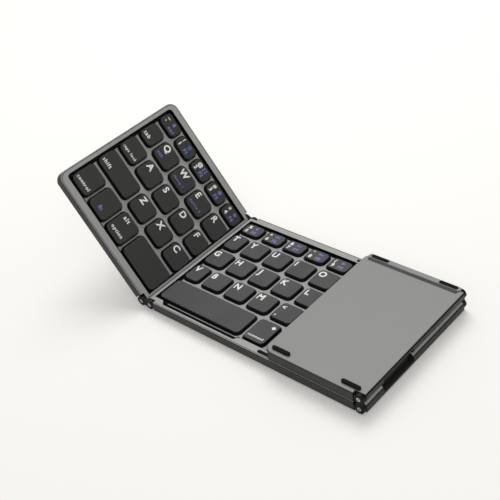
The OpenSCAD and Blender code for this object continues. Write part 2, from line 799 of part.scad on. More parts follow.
module centre_key_deck() {
    tongue_y = deck_front_y - deck_tongue;
    place_centre()
        difference() {
            key_deck(centre_w, true, true, all_centre_keys)
                plate([relief_left + relief_slant, tongue_y],
                    [relief_left + relief_len - relief_slant, deck_front_y + CUT], 0,
                    deck_z, deck_t);
            at_edges(centre_w, false, true) cable_notch();
        }
}

module centre_dome_sheet() {
    place_centre() dome_sheet(centre_w, true, true, all_centre_keys, centre_posts);
}

module centre_key_circuit() {
    color(BOARD_COLOR)
        place_centre() board(centre_w, true, true, centre_posts, shell_floor_z, circuit_t);
}

module centre_feet() {
    place_centre() feet(centre_w);
}

// Bumpers on the rim, two in front and two behind
function bumper_places() = [for (y = [bumper_y, panel_depth - bumper_y],
    x = [centre_w - right_w - bumper_reach, centre_w - 2 * notch_len - bumper_len]) [x, y]];

module bumper_seats() {
    for (p = bumper_places())
        stadium(p[0], p[0] + bumper_len, p[1], bumper_w, panel_t - bumper_seat, panel_t);
}

module rim_bumpers() {
    color(RUBBER_COLOR)
        place_centre()
            for (p = bumper_places())
                stadium(p[0], p[0] + bumper_len, p[1], bumper_w,
                    panel_t - bumper_seat, bumper_seat + bumper_h);
}

module left_lower_shell() {
    place_left()
        lower_shell(left_w, false, true, false, false)
            deck_supports(left_w, false, true, left_posts);
}

module left_base_plate() {
    place_left() base_plate(left_w, false, true);
}

module left_top_frame() {
    place_left()
        top_frame(left_w, false, true, false, false)
            key_opening(left_w, false, true);
}

module left_key_deck() {
    place_left() key_deck(left_w, false, true, all_left_keys);
}

module left_dome_sheet() {
    place_left() dome_sheet(left_w, false, true, all_left_keys, left_posts);
}

module left_key_circuit() {
    color(BOARD_COLOR)
        place_left() board(left_w, false, true, left_posts, shell_floor_z, circuit_t);
}

module left_feet() {
    place_left() feet(left_w);
}

// Touch pad, its board and what carries them, from the right panel's hinge edge
touch_x = rim_hinge + touch_margin_x;
touch_y = touch_margin_y;
touch_w = right_w - rim_hinge - rim_outer - 2 * touch_margin_x;
touch_d = panel_depth - 2 * touch_margin_y;
touch_top_z = panel_t - touch_drop;
touch_board_z = touch_top_z - touch_t - touch_board_t;
battery_x = touch_x + battery_margin;
battery_y = touch_y + inner_gap;
battery_w = touch_w - 2 * battery_margin;
battery_d = touch_d - main_board_d - 3 * inner_gap;
main_board_x = touch_x + main_board_margin;
main_board_y = battery_y + battery_d + inner_gap;
main_board_w = touch_w - 2 * main_board_margin;
main_board_z = shell_floor_z + board_post_h;
socket_z = (shell_floor_z + seam_z - socket_h) / 2;

module touch_shape(grow, z, t) {
    plate([touch_x - grow, touch_y - grow], [touch_x + touch_w + grow, touch_y + touch_d + grow],
        rim_inner_r + grow, z, t);
}

module touch_seat() {
    lap = touch_board_lap;
    difference() {
        plate([touch_x - lap, touch_y - lap],
            [touch_x + touch_w + lap, touch_y + touch_d + lap], board_corner_r,
            0, touch_board_z);
        plate([touch_x, touch_y], [touch_x + touch_w, touch_y + touch_d], board_corner_r,
            -CUT, panel_t);
    }
}

module right_lower_shell() {
    place_right()
        difference() {
            lower_shell(right_w, true, false, true, false) {
                touch_seat();
                for (x = [board_post_inset, main_board_w - board_post_inset],
                    y = [board_post_inset, main_board_d - board_post_inset])
                    translate([main_board_x + x, main_board_y + y, 0])
                        cylinder(d = board_post_d, h = main_board_z);
            }
            socket_mouth(board_gap);
        }
}

module socket_mouth(grow) {
    r = socket_corner_r + grow;
    translate([0, panel_depth + CUT, 0])
        rotate([90, 0, 0])
            linear_extrude(socket_len + touch_y)
                corner_rect([socket_x - grow, socket_z - grow],
                    [socket_x + socket_w + grow, socket_z + socket_h + grow], [r, r, r, r]);
}

module right_base_plate() {
    place_right() base_plate(right_w, true, false);
}

module right_top_frame() {
    place_right()
        top_frame(right_w, true, false, true, false) {
            touch_shape(touch_gap, -CUT, panel_t + 2 * CUT);
            touch_shape(touch_board_lap + touch_gap, -CUT, touch_top_z - touch_t + CUT);
        }
}

module touch_pad() {
    color(TOUCH_COLOR)
        place_right() touch_shape(0, touch_top_z - touch_t, touch_t);
}

module touch_pad_board() {
    color(BOARD_COLOR)
        place_right() touch_shape(touch_board_lap, touch_board_z, touch_board_t);
}

module battery() {
    color(FOIL_COLOR)
        place_right()
            plate([battery_x, battery_y], [battery_x + battery_w, battery_y + battery_d],
                battery_corner_r, shell_floor_z, battery_t);
}

module main_board() {
    place_right() {
        color(BOARD_COLOR)
            plate([main_board_x, main_board_y],
                [main_board_x + main_board_w, main_board_y + main_board_d], board_corner_r,
                main_board_z, main_board_t);
        color(RUBBER_COLOR)
            for (share = [1, 2, 3] / 4)
                translate([main_board_x + share * main_board_w - chip_w / 2,
                    main_board_y + main_board_d / 2 - chip_w / 2, main_board_z + main_board_t])
                    cube([chip_w, chip_w, chip_h]);
    }
}

module charging_socket() {
    r = socket_corner_r;
    w = socket_wall_t;
    color(STEEL_COLOR)
        place_right()
            translate([0, panel_depth - socket_inset, 0])
                rotate([90, 0, 0])
                    difference() {
                        linear_extrude(socket_len)
                            corner_rect([socket_x, socket_z],
                                [socket_x + socket_w, socket_z + socket_h], [r, r, r, r]);
                        translate([0, 0, -CUT])
                            linear_extrude(socket_len + CUT - w)
                                corner_rect([socket_x + w, socket_z + w],
                                    [socket_x + socket_w - w, socket_z + socket_h - w],
                                    [r - w, r - w, r - w, r - w]);
                    }
}

module right_feet() {
    place_right() feet(right_w);
}

// A link at each end of a hinge, drawn between the two pins
module hinge_links() {
    color(SHELL_COLOR)
        for (y = [link_t, panel_depth])
            translate([0, y, 0])
                rotate([90, 0, 0])
                    difference() {
                        linear_extrude(link_t) {
                            translate([0, link_waist - link_r])
                                square([pin_span, 2 * (link_r - link_waist)]);
                            circle(r = link_r);
                            translate([pin_span, 0]) circle(r = link_r);
                        }
                        for (x = [0, pin_span]) {
                            translate([x, 0, -CUT]) cylinder(d = pin_d, h = link_t + 2 * CUT);
                            head_z = y == link_t ? link_t - pin_head_t : -CUT;
                            translate([x, 0, head_z])
                                cylinder(d = pin_head_d, h = pin_head_t + CUT);
                        }
                    }
}

module hinge_pins() {
    shaft_len = link_t + pin_reach - link_clear;
    color(STEEL_COLOR)
        for (x = [0, pin_span]) {
            bar_y(x, 0, pin_d, 0, shaft_len);
            bar_y(x, 0, pin_head_d, 0, pin_head_t);
            bar_y(x, 0, pin_d, panel_depth - shaft_len, panel_depth);
            bar_y(x, 0, pin_head_d, panel_depth - pin_head_t, panel_depth);
        }
}

// Cover of the flat cable, drawn between the two pins
module cable_profile(inset) {
    r = cable_corner_r - inset;
    corner_rect([-cable_end + inset, -cable_out + inset],
        [pin_span + cable_end - inset, cable_in - inset], [r, r, r, r]);
}

module cable_cover() {
    color(RUBBER_COLOR) {
        difference() {
            translate([0, cable_y + cable_len, 0])
                rotate([90, 0, 0]) linear_extrude(cable_len) cable_profile(0);
            translate([0, cable_y + cable_len - cable_cap_t, 0])
                rotate([90, 0, 0])
                    linear_extrude(cable_len - 2 * cable_cap_t) cable_profile(cable_wall_t);
        }
        for (x = [0, pin_span]) {
            bar_y(x, 0, pin_d, cable_y - trunnion_len, cable_y);
            bar_y(x, 0, pin_d, cable_y + cable_len, cable_y + cable_len + trunnion_len);
        }
    }
}

module flat_cable() {
    gap = cable_wall_t + cable_gap;
    color(FILM_COLOR)
        translate([-cable_end + gap, cable_y + cable_cap_t + cable_gap,
            cable_in - cable_wall_t - flat_cable_t])
            cube([pin_span + 2 * cable_end - 2 * gap,
                cable_len - 2 * cable_cap_t - 2 * cable_gap, flat_cable_t]);
}

module left_hinge_links() { place_left_link() hinge_links(); }
module left_hinge_pins() { place_left_link() hinge_pins(); }
module right_hinge_links() { place_right_link() hinge_links(); }
module right_hinge_pins() { place_right_link() hinge_pins(); }
module cable_sleeve() { place_right_link() cable_cover(); }
module flat_cable_strip() { place_right_link() flat_cable(); }

centre_lower_shell();
centre_base_plate();
centre_top_frame();
centre_key_deck();
centre_dome_sheet();
centre_key_circuit();
centre_feet();
rim_bumpers();
left_lower_shell();
left_base_plate();
left_top_frame();
left_key_deck();
left_dome_sheet();
left_key_circuit();
left_feet();
right_lower_shell();
right_base_plate();
right_top_frame();
touch_pad();
touch_pad_board();
battery();
main_board();
charging_socket();
right_feet();
left_hinge_links();
left_hinge_pins();
right_hinge_links();
right_hinge_pins();
cable_sleeve();
flat_cable_strip();
for (row = [0:row_count - 1], i = [0:len(LEFT_KEY_ROWS[row]) - 1])
    place_left() keycap(left_keys(row)[i]);
for (row = [0:row_count - 1])
    place_centre() keycaps(grouped_keys(row));
place_centre() keycap(centre_keys(SPACE_ROW)[0]);  // right_space_key
place_centre() keycap(centre_keys(ENTER_ROW)[len(centre_keys(ENTER_ROW)) - 1]);  // enter_key
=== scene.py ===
"""Looks of a folding keyboard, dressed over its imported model.

Every piece is laid out in a panel's own frame, in millimetres: x from the panel's
left edge, y from its front edge and z from the bottom of its base plate. The
panel's matrix then puts the mesh in the object, in metres, and the object itself
stays at the origin.
"""
import logging
import math
from dataclasses import dataclass, field
from enum import Enum
from functools import cache
from typing import Iterable, Optional, Sequence

import bmesh
import bpy
from bmesh.types import BMesh, BMVert
from bpy.types import ID, Material, Node, NodeSocket, NodeTree, Object
from mathutils import Matrix, Vector


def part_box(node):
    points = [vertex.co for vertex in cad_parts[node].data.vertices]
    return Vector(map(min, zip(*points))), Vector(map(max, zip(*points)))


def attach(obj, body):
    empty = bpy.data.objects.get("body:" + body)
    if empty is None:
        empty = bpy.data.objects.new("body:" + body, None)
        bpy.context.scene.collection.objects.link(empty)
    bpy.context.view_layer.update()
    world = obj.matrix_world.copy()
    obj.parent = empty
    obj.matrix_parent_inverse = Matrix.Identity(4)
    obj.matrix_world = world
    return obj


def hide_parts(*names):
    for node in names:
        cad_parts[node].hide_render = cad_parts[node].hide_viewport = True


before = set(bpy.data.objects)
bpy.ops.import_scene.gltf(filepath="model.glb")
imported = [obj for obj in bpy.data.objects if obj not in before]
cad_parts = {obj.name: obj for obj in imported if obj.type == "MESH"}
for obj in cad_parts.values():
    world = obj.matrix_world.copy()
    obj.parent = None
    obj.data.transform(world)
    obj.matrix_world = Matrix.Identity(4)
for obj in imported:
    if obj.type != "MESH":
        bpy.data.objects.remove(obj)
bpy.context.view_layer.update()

LOG = logging.getLogger("folding_keyboard")

MM = 0.001
OBJECT = Matrix.Scale(MM, 4)  # from millimetres to metres in the object
PANEL_DEPTH = 98.0
PANEL_T = 6.4
LEFT_W = 92.2
RIGHT_W = 66.2
CENTRE_W = 158.9
LEFT_TILT = 53.5
FOOT_H = 1.2
PIN_Z = 3.2
HINGE_R = 3.2
PIN_SPAN = 6.8
SHARP = math.radians(32)  # faces that meet at more than this stay sharp
SOFTENED = math.radians(35)  # edges sharper than this are softened
FLAT = math.radians(0.6)  # CAD faces that meet at less than this are joined
MERGE = 0.0005  # vertices closer than this are merged


class Ink(Enum):
    """The two inks that the key legends are printed in."""

    WHITE = "legend_white"
    BLUE = "legend_blue"


class Panel(Enum):
    """The three panels; the value is the first word of their nodes' names."""

    CENTRE = "centre"
    LEFT = "left"
    RIGHT = "right"

    @property
    def body(self) -> str:
        """The CAD body that the panel's pieces ride on."""
        return f"{self.value}_panel"

    @property
    def hinge_sides(self) -> tuple:
        """Whether the panel is hinged at its left and at its right edge."""
        return self is not Panel.LEFT, self is not Panel.RIGHT

    @property
    def width(self) -> float:
        """The panel's width in millimetres."""
        return {Panel.CENTRE: CENTRE_W, Panel.LEFT: LEFT_W, Panel.RIGHT: RIGHT_W}[self]

    @property
    def matrix(self) -> Matrix:
        """From the panel's own millimetres to metres in the object."""
        edge_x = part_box("centre_lower_shell")[0].x / MM
        front_y = -PANEL_DEPTH / 2
        if self is Panel.CENTRE:
            local = Matrix.Translation((edge_x, front_y, FOOT_H))
        else:
            pin_x, pin_z, turn, back = {
                Panel.LEFT: (HINGE_R - PIN_SPAN, 0, math.radians(LEFT_TILT), HINGE_R - LEFT_W),
                Panel.RIGHT: (CENTRE_W - HINGE_R, PIN_SPAN, math.pi, -HINGE_R),
            }[self]
            local = (
                Matrix.Translation((edge_x + pin_x, front_y, FOOT_H + PIN_Z + pin_z))
                @ Matrix.Rotation(turn, 4, "Y")
                @ Matrix.Translation((back, 0, -PIN_Z))
            )
        return OBJECT @ local


# ---- finishes


def new_group(name: str, inputs: Sequence[tuple], outputs: Sequence[tuple]) -> tuple:
    """Makes a shader group with its sockets.

    Args:
        name: The group's name.
        inputs: Pairs of socket name and socket type.
        outputs: Pairs of socket name and socket type.

    Returns:
        The group, its input node and its output node.
    """
    group = bpy.data.node_groups.new(name, "ShaderNodeTree")
    for label, kind in inputs:
        group.interface.new_socket(label, in_out="INPUT", socket_type=kind)
    for label, kind in outputs:
        group.interface.new_socket(label, in_out="OUTPUT", socket_type=kind)
    return group, group.nodes.new("NodeGroupInput"), group.nodes.new("NodeGroupOutput")


def set_inputs(node: Node, values: dict) -> None:
    """Sets the inputs of a node by their names."""
    for label, value in values.items():
        node.inputs[label].default_value = value


def calculate(
    tree: NodeTree, operation: str, first: NodeSocket,
    second: NodeSocket | float,
) -> NodeSocket:
    """Adds a Math node and returns its result; the second value may be a number."""
    node = tree.nodes.new("ShaderNodeMath")
    node.operation = operation
    tree.links.new(first, node.inputs[0])
    if isinstance(second, float):
        node.inputs[1].default_value = second
    else:
        tree.links.new(second, node.inputs[1])
    return node.outputs["Value"]


def map_range(tree: NodeTree, value: NodeSocket, source: tuple, target: tuple) -> Node:
    """Adds a clamped Map Range node from one range to another."""
    node = tree.nodes.new("ShaderNodeMapRange")
    tree.links.new(value, node.inputs["Value"])
    set_inputs(node, dict(zip(("From Min", "From Max", "To Min", "To Max"), source + target)))
    return node


def relief_group(name: str, texture: str) -> NodeTree:
    """Makes a group in which a texture gives a height.

    Args:
        name: The group's name.
        texture: The type of its texture node.

    Returns:
        A group from Vector and Scale to Height.
    """
    group, entry, leave = new_group(
        name,
        [("Vector", "NodeSocketVector"), ("Scale", "NodeSocketFloat")],
        [("Height", "NodeSocketFloat")],
    )
    node = group.nodes.new(texture)
    if texture == "ShaderNodeTexWave":
        node.bands_direction = "DIAGONAL"
    for label in ("Vector", "Scale"):
        group.links.new(entry.outputs[label], node.inputs[label])
    group.links.new(node.outputs["Fac"], leave.inputs["Height"])
    return group


def handling_group() -> NodeTree:
    """Broad, faint unevenness of colour and gloss from handling.

    Returns:
        A group from Vector, Scale, Color, Roughness and Amount to Color and Roughness.
    """
    group, entry, leave = new_group(
        "handling_marks",
        [
            ("Vector", "NodeSocketVector"),
            ("Scale", "NodeSocketFloat"),
            ("Color", "NodeSocketColor"),
            ("Roughness", "NodeSocketFloat"),
            ("Amount", "NodeSocketFloat"),
        ],
        [("Color", "NodeSocketColor"), ("Roughness", "NodeSocketFloat")],
    )
    patches = group.nodes.new("ShaderNodeTexNoise")
    patches.inputs["Detail"].default_value = 4.0
    for label in ("Vector", "Scale"):
        group.links.new(entry.outputs[label], patches.inputs[label])
    swing = map_range(group, patches.outputs["Fac"], (0.3, 0.7), (-1.0, 1.0))
    share = calculate(group, "MULTIPLY", swing.outputs["Result"], entry.outputs["Amount"])
    brighter = calculate(group, "ADD", share, 1.0)
    tint = group.nodes.new("ShaderNodeVectorMath")
    tint.operation = "SCALE"
    group.links.new(entry.outputs["Color"], tint.inputs[0])
    group.links.new(brighter, tint.inputs["Scale"])
    rougher = calculate(group, "ADD", share, entry.outputs["Roughness"])
    group.links.new(tint.outputs["Vector"], leave.inputs["Color"])
    group.links.new(rougher, leave.inputs["Roughness"])
    return group


GRAIN = relief_group("moulded_grain", "ShaderNodeTexNoise")
HANDLING = handling_group()
RIBS = relief_group("fine_ribs", "ShaderNodeTexWave")
HANDLING_SCALE = 45.0  # patches in a metre


@dataclass(frozen=True)
class Finish:
    """One procedural surface finish.

    Attributes:
        name: The material's name.
        color: Base colour, linear.
        roughness: Mean roughness.
        slot: The record's material slot, or None; not used.
        metallic: Metallic share.
        grain_mm: Size of the surface grain in millimetres.
        grain_depth: Height of the grain in millimetres.
        marks: Strength of the broad unevenness.
        specular: Specular level of the shader.
        ribbed: Whether fine ribs take the grain's place.
    """

    name: str
    color: tuple
    roughness: float
    slot: Optional[str] = None
    metallic: float = 0.0
    grain_mm: float = 0.35
    grain_depth: float = 0.01
    marks: float = 0.05
    specular: float = 0.5
    ribbed: bool = False

    @cache
    def material(self) -> Material:
        """Builds the material once and returns it after that."""
        made = bpy.data.materials.new(f"{self.name}_finish")
        made.use_nodes = True
        tree = made.node_tree
        shader = tree.nodes["Principled BSDF"]
        place = tree.nodes.new("ShaderNodeTexCoord").outputs["Object"]
        handled = tree.nodes.new("ShaderNodeGroup")
        handled.node_tree = HANDLING
        tree.links.new(place, handled.inputs["Vector"])
        set_inputs(handled, {
            "Scale": HANDLING_SCALE, "Color": (*self.color, 1.0), "Roughness": self.roughness,
            "Amount": self.marks,
        })
        tree.links.new(handled.outputs["Color"], shader.inputs["Base Color"])
        tree.links.new(handled.outputs["Roughness"], shader.inputs["Roughness"])
        relief = tree.nodes.new("ShaderNodeGroup")
        relief.node_tree = RIBS if self.ribbed else GRAIN
        tree.links.new(place, relief.inputs["Vector"])
        relief.inputs["Scale"].default_value = 1.0 / (self.grain_mm * MM)
        bump = tree.nodes.new("ShaderNodeBump")
        set_inputs(bump, {"Strength": 1.0, "Distance": self.grain_depth * MM})
        tree.links.new(relief.outputs["Height"], bump.inputs["Height"])
        tree.links.new(bump.outputs["Normal"], shader.inputs["Normal"])
        set_inputs(shader, {"Metallic": self.metallic, "Specular IOR Level": self.specular})
        return made


RIM_GREY = Finish("rim_grey", (0.37, 0.37, 0.37), 0.42, "frame_grey", grain_depth=0.006)
DECK_GREY = Finish("deck_grey", (0.35, 0.35, 0.35), 0.5, "frame_grey", grain_depth=0.006)
# Painted shade: black laid in gaps, recesses, on inner walls, at the feet of walls and in thin rings and
# lines along edges, where shade falls.
PAINTED_SHADE_BLACK = Finish("painted_shade_black", (0.004, 0.004, 0.004), 0.7, "frame_grey", specular=0.2)
PLATE_GREY = Finish(
    "plate_grey", (0.26, 0.26, 0.26), 0.44, "plate_grey", grain_mm=0.22, grain_depth=0.004, marks=0.03
)
SHELL_DARK = Finish("shell_dark", (0.027, 0.027, 0.027), 0.5, "shell_dark", grain_mm=0.5, grain_depth=0.03)
# The links' own black, also used as painted shade on the hinge pin heads.
LINK_BLACK_AND_SHADE = Finish("link_black_and_shade", (0.006, 0.006, 0.006), 0.5, "shell_dark", grain_depth=0.004, specular=0.2)
KEY_FACE = Finish(
    "key_face", (0.03, 0.03, 0.03), 0.5, "key_dark", grain_mm=0.3, grain_depth=0.006, marks=0.04
)
# Painted shade: the key walls are a darker copy of the key face's own colour.
KEY_SIDE_SHADE = Finish("key_side_shade", (0.004, 0.004, 0.004), 0.6, "key_dark", grain_depth=0.004, specular=0.3)
RUBBER = Finish(
    "rubber_black", (0.004, 0.004, 0.004), 0.75, "rubber_black", grain_depth=0.01, specular=0.15
)
SLEEVE = Finish(
    "sleeve_black", (0.006, 0.006, 0.006), 0.45, "sleeve_black", grain_depth=0.005, specular=0.3
)
PIN_STEEL = Finish(
    "pin_steel", (0.75, 0.75, 0.74), 0.25, "pin_steel", metallic=1.0, grain_depth=0.001, marks=0.03
)
SOCKET_STEEL = Finish("socket_steel", (0.6, 0.6, 0.6), 0.3, "socket_steel", metallic=1.0, grain_depth=0.001)
TOUCH = Finish("touch_surface", (0.06, 0.06, 0.06), 0.38, "touch_surface", grain_depth=0.002)
BOARD = Finish("circuit_green", (0.015, 0.08, 0.035), 0.4, "circuit_green", marks=0.1)
DOMES = Finish("dome_rubber", (0.5, 0.5, 0.47), 0.6, "dome_rubber")
FOIL = Finish("battery_foil", (0.45, 0.45, 0.48), 0.3, "battery_foil", metallic=0.8)
FILM = Finish("cable_film", (0.45, 0.2, 0.03), 0.3, "cable_film", marks=0.1)
RAMP = Finish(
    "ramp_ribs", (0.035, 0.035, 0.035), 0.5, "shell_dark", grain_mm=3.0, grain_depth=0.12, ribbed=True
)
INKS = {
    Ink.WHITE: Finish("legend_white", (0.92, 0.92, 0.92), 0.5, grain_depth=0.001, marks=0.02),
    Ink.BLUE: Finish("legend_blue", (0.16, 0.19, 0.5), 0.5, grain_depth=0.001, marks=0.02),
}


# ---- mesh helpers


def new_object(name: str, data: ID) -> Object:
    """Makes an object and puts it in the scene."""
    made = bpy.data.objects.new(name, data)
    bpy.context.scene.collection.objects.link(made)
    return made


def finish_piece(
    bm: BMesh,
    name: str,
    matrix: Matrix,
    body: str,
    finishes: Sequence[Finish],
    recalculate: bool = True,
) -> Object:
    """Turns a bmesh in millimetres into a piece of the object.

    Args:
        bm: The mesh in a local frame; it is freed.
        name: The piece's name.
        matrix: From the local frame to the object.
        body: The CAD body that the piece rides on.
        finishes: One finish for each material index.
        recalculate: Whether its faces are turned outwards.

    Returns:
        The new object, at the origin and riding on its body.
    """
    if recalculate:
        bmesh.ops.recalc_face_normals(bm, faces=bm.faces)
    bm.transform(matrix)
    mesh = bpy.data.meshes.new(name)
    bm.to_mesh(mesh)
    bm.free()
    for polygon in mesh.polygons:
        polygon.use_smooth = True
    mesh.set_sharp_from_angle(angle=SHARP)
    for finish in finishes:
        mesh.materials.append(finish.material())
    piece = new_object(name, mesh)
    shading = piece.modifiers.new("flat_faces_first", "WEIGHTED_NORMAL")
    shading.keep_sharp = True
    shading.weight = 100
    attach(piece, body)
    return piece


def cad_copy(node: str, matrix: Matrix) -> BMesh:
    """Copies a CAD node's mesh into a local frame, merged and with flat faces joined.

    Args:
        node: The CAD node.
        matrix: From the local frame to the object.

    Returns:
        The copy, in millimetres.
    """
    bm = bmesh.new()
    bm.from_mesh(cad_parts[node].data)
    bm.transform(matrix.inverted())
    bmesh.ops.remove_doubles(bm, verts=bm.verts, dist=MERGE)
    bmesh.ops.dissolve_limit(
        bm, angle_limit=FLAT, verts=bm.verts, edges=bm.edges, use_dissolve_boundaries=False
    )
    return bm


def cut_across(bm: BMesh, axis: int, places: Iterable[float]) -> None:
    """Cuts a mesh's faces along planes, so that bands of it can differ in finish.

    Args:
        bm: The mesh, in millimetres.
        axis: 0, 1 or 2 for planes across x, y or z.
        places: Where the planes lie on that axis.
    """
    normal = Vector([float(axis == i) for i in range(3)])
    for place in places:
        bmesh.ops.bisect_plane(
            bm, geom=bm.verts[:] + bm.edges[:] + bm.faces[:], plane_co=normal * place, plane_no=normal
        )


def round_edges(bm: BMesh, edges: list, radius: float, segments: int, material: int = -1) -> None:
    """Rounds some edges of a mesh.

    Args:
        bm: The mesh, in millimetres.
        edges: The edges.
        radius: Width of the rounding.
        segments: Steps across it.
        material: Its material index, or -1 for the index of the faces beside it.
    """
    bmesh.ops.bevel(
        bm, geom=edges, offset=radius, offset_type="OFFSET", segments=segments, profile=0.5,
        affect="EDGES", clamp_overlap=True, material=material,
    )


def soften(bm: BMesh, radius: float) -> None:
    """Rounds the convex sharp edges of a mesh, which is in millimetres, in two steps."""
    sharp = [
        e for e in bm.edges if len(e.link_faces) == 2 and e.calc_face_angle_signed(0.0) > SOFTENED
    ]
    round_edges(bm, sharp, radius, 2)


def rounded_box(low: Sequence[float], high: Sequence[float], corner: float, edge: float) -> BMesh:
    """A box with round upright corners.

    Args:
        low: Lowest corner.
        high: Highest corner.
        corner: Radius of the upright corners.
        edge: Rounding of the edges at both ends, or 0 for none.

    Returns:
        The closed mesh.
    """
    bm = bmesh.new()
    bmesh.ops.create_cube(bm, size=1.0)
    size = Vector(high) - Vector(low)
    bmesh.ops.scale(bm, verts=bm.verts, vec=size)
    bmesh.ops.translate(bm, verts=bm.verts, vec=(Vector(low) + Vector(high)) / 2)
    upright = [e for e in bm.edges if abs(e.verts[0].co.z - e.verts[1].co.z) > size.z / 2]
    round_edges(bm, upright, corner, 6)
    if edge:
        soften(bm, edge)
    return bm


def flat_ring(low: Sequence[float], high: Sequence[float], corner: float, width: float) -> BMesh:
    """A flat band that runs round a rectangle with round corners.

    Args:
        low: Lowest corner of its outer edge.
        high: Highest corner of its outer edge.
        corner: Outer corner radius.
        width: Width of the band, inwards.

    Returns:
        The closed mesh.
    """
    bm = rounded_box(low, high, corner, 0.0)
    lids = [f for f in bm.faces if abs(f.normal.z) > 0.5]
    for lid in lids:
        bmesh.ops.inset_region(bm, faces=[lid], thickness=width, depth=0.0)
    rims = [e for lid in lids for e in lid.edges]
    bmesh.ops.delete(bm, geom=lids, context="FACES_ONLY")
    bmesh.ops.bridge_loops(bm, edges=rims)
    return bm


def join_mesh(bm: BMesh, into: BMesh) -> None:
    """Adds one mesh to another and frees it.

    Args:
        bm: The mesh that is added.
        into: The mesh that grows.
    """
    block = bpy.data.meshes.new("block")
    bm.to_mesh(block)
    bm.free()
    into.from_mesh(block)
    bpy.data.meshes.remove(block)


# ---- key legends


@dataclass(frozen=True)
class Shape:
    """One shape of an icon: a regular figure, stretched along x.

    Attributes:
        sides: Number of corners; many make a disc.
        x: Middle, as a share of the icon's height.
        y: Middle, as a share of the icon's height.
        radius: Radius, as a share of the icon's height.
        turn: Turn in degrees.
        stretch: Stretch along x, after the turn.
    """

    sides: int
    x: float
    y: float
    radius: float
    turn: float = 0.0
    stretch: float = 1.0


def stroke(x: float) -> Shape:
    """An upright stroke of an icon."""
    return Shape(4, x, 0.5, 0.45, 45, 0.2)


ICONS = {
    "previous": (Shape(3, 0.3, 0.5, 0.42, 90), Shape(3, 0.85, 0.5, 0.42, 90), stroke(-0.02)),
    "play": (Shape(3, 0.3, 0.5, 0.46, -90), stroke(0.8), stroke(1.05)),
    "next": (Shape(3, 0.2, 0.5, 0.42, -90), Shape(3, 0.75, 0.5, 0.42, -90), stroke(1.05)),
    "house": (Shape(3, 0.5, 0.68, 0.5, 0), Shape(4, 0.5, 0.28, 0.4, 45, 1.0)),
    "menu": tuple(Shape(4, 0.5, y, 0.12, 45, 5.0) for y in (0.15, 0.5, 0.85)),
    "disc": (Shape(20, 0.5, 0.5, 0.45),),
    "up": (Shape(3, 0.5, 0.4, 0.55, 0),),
    "down": (Shape(3, 0.5, 0.6, 0.55, 180),),
    "left": (Shape(3, 0.5, 0.5, 0.55, 90),),
    "right": (Shape(3, 0.4, 0.5, 0.55, -90),),
    "diamond": (Shape(4, 0.5, 0.5, 0.5),),
    "squares": tuple(Shape(4, x, y, 0.28, 45) for y in (0.75, 0.15) for x in (0.2, 0.85)),
}


@dataclass(frozen=True)
class Mark:
    """One printed mark on a key.

    Attributes:
        text: Letters, or the name of an icon.
        x: Left edge, from the face's left edge.
        y: Base line, from the face's front edge.
        height: Height of a capital, or of the icon.
        width: Overall width, which then sets the size.
        ink: The ink it is printed in.
        icon: Whether text names an icon.
    """

    text: str
    x: float
    y: float
    height: float = 2.4
    width: Optional[float] = None
    ink: Ink = Ink.WHITE
    icon: bool = False


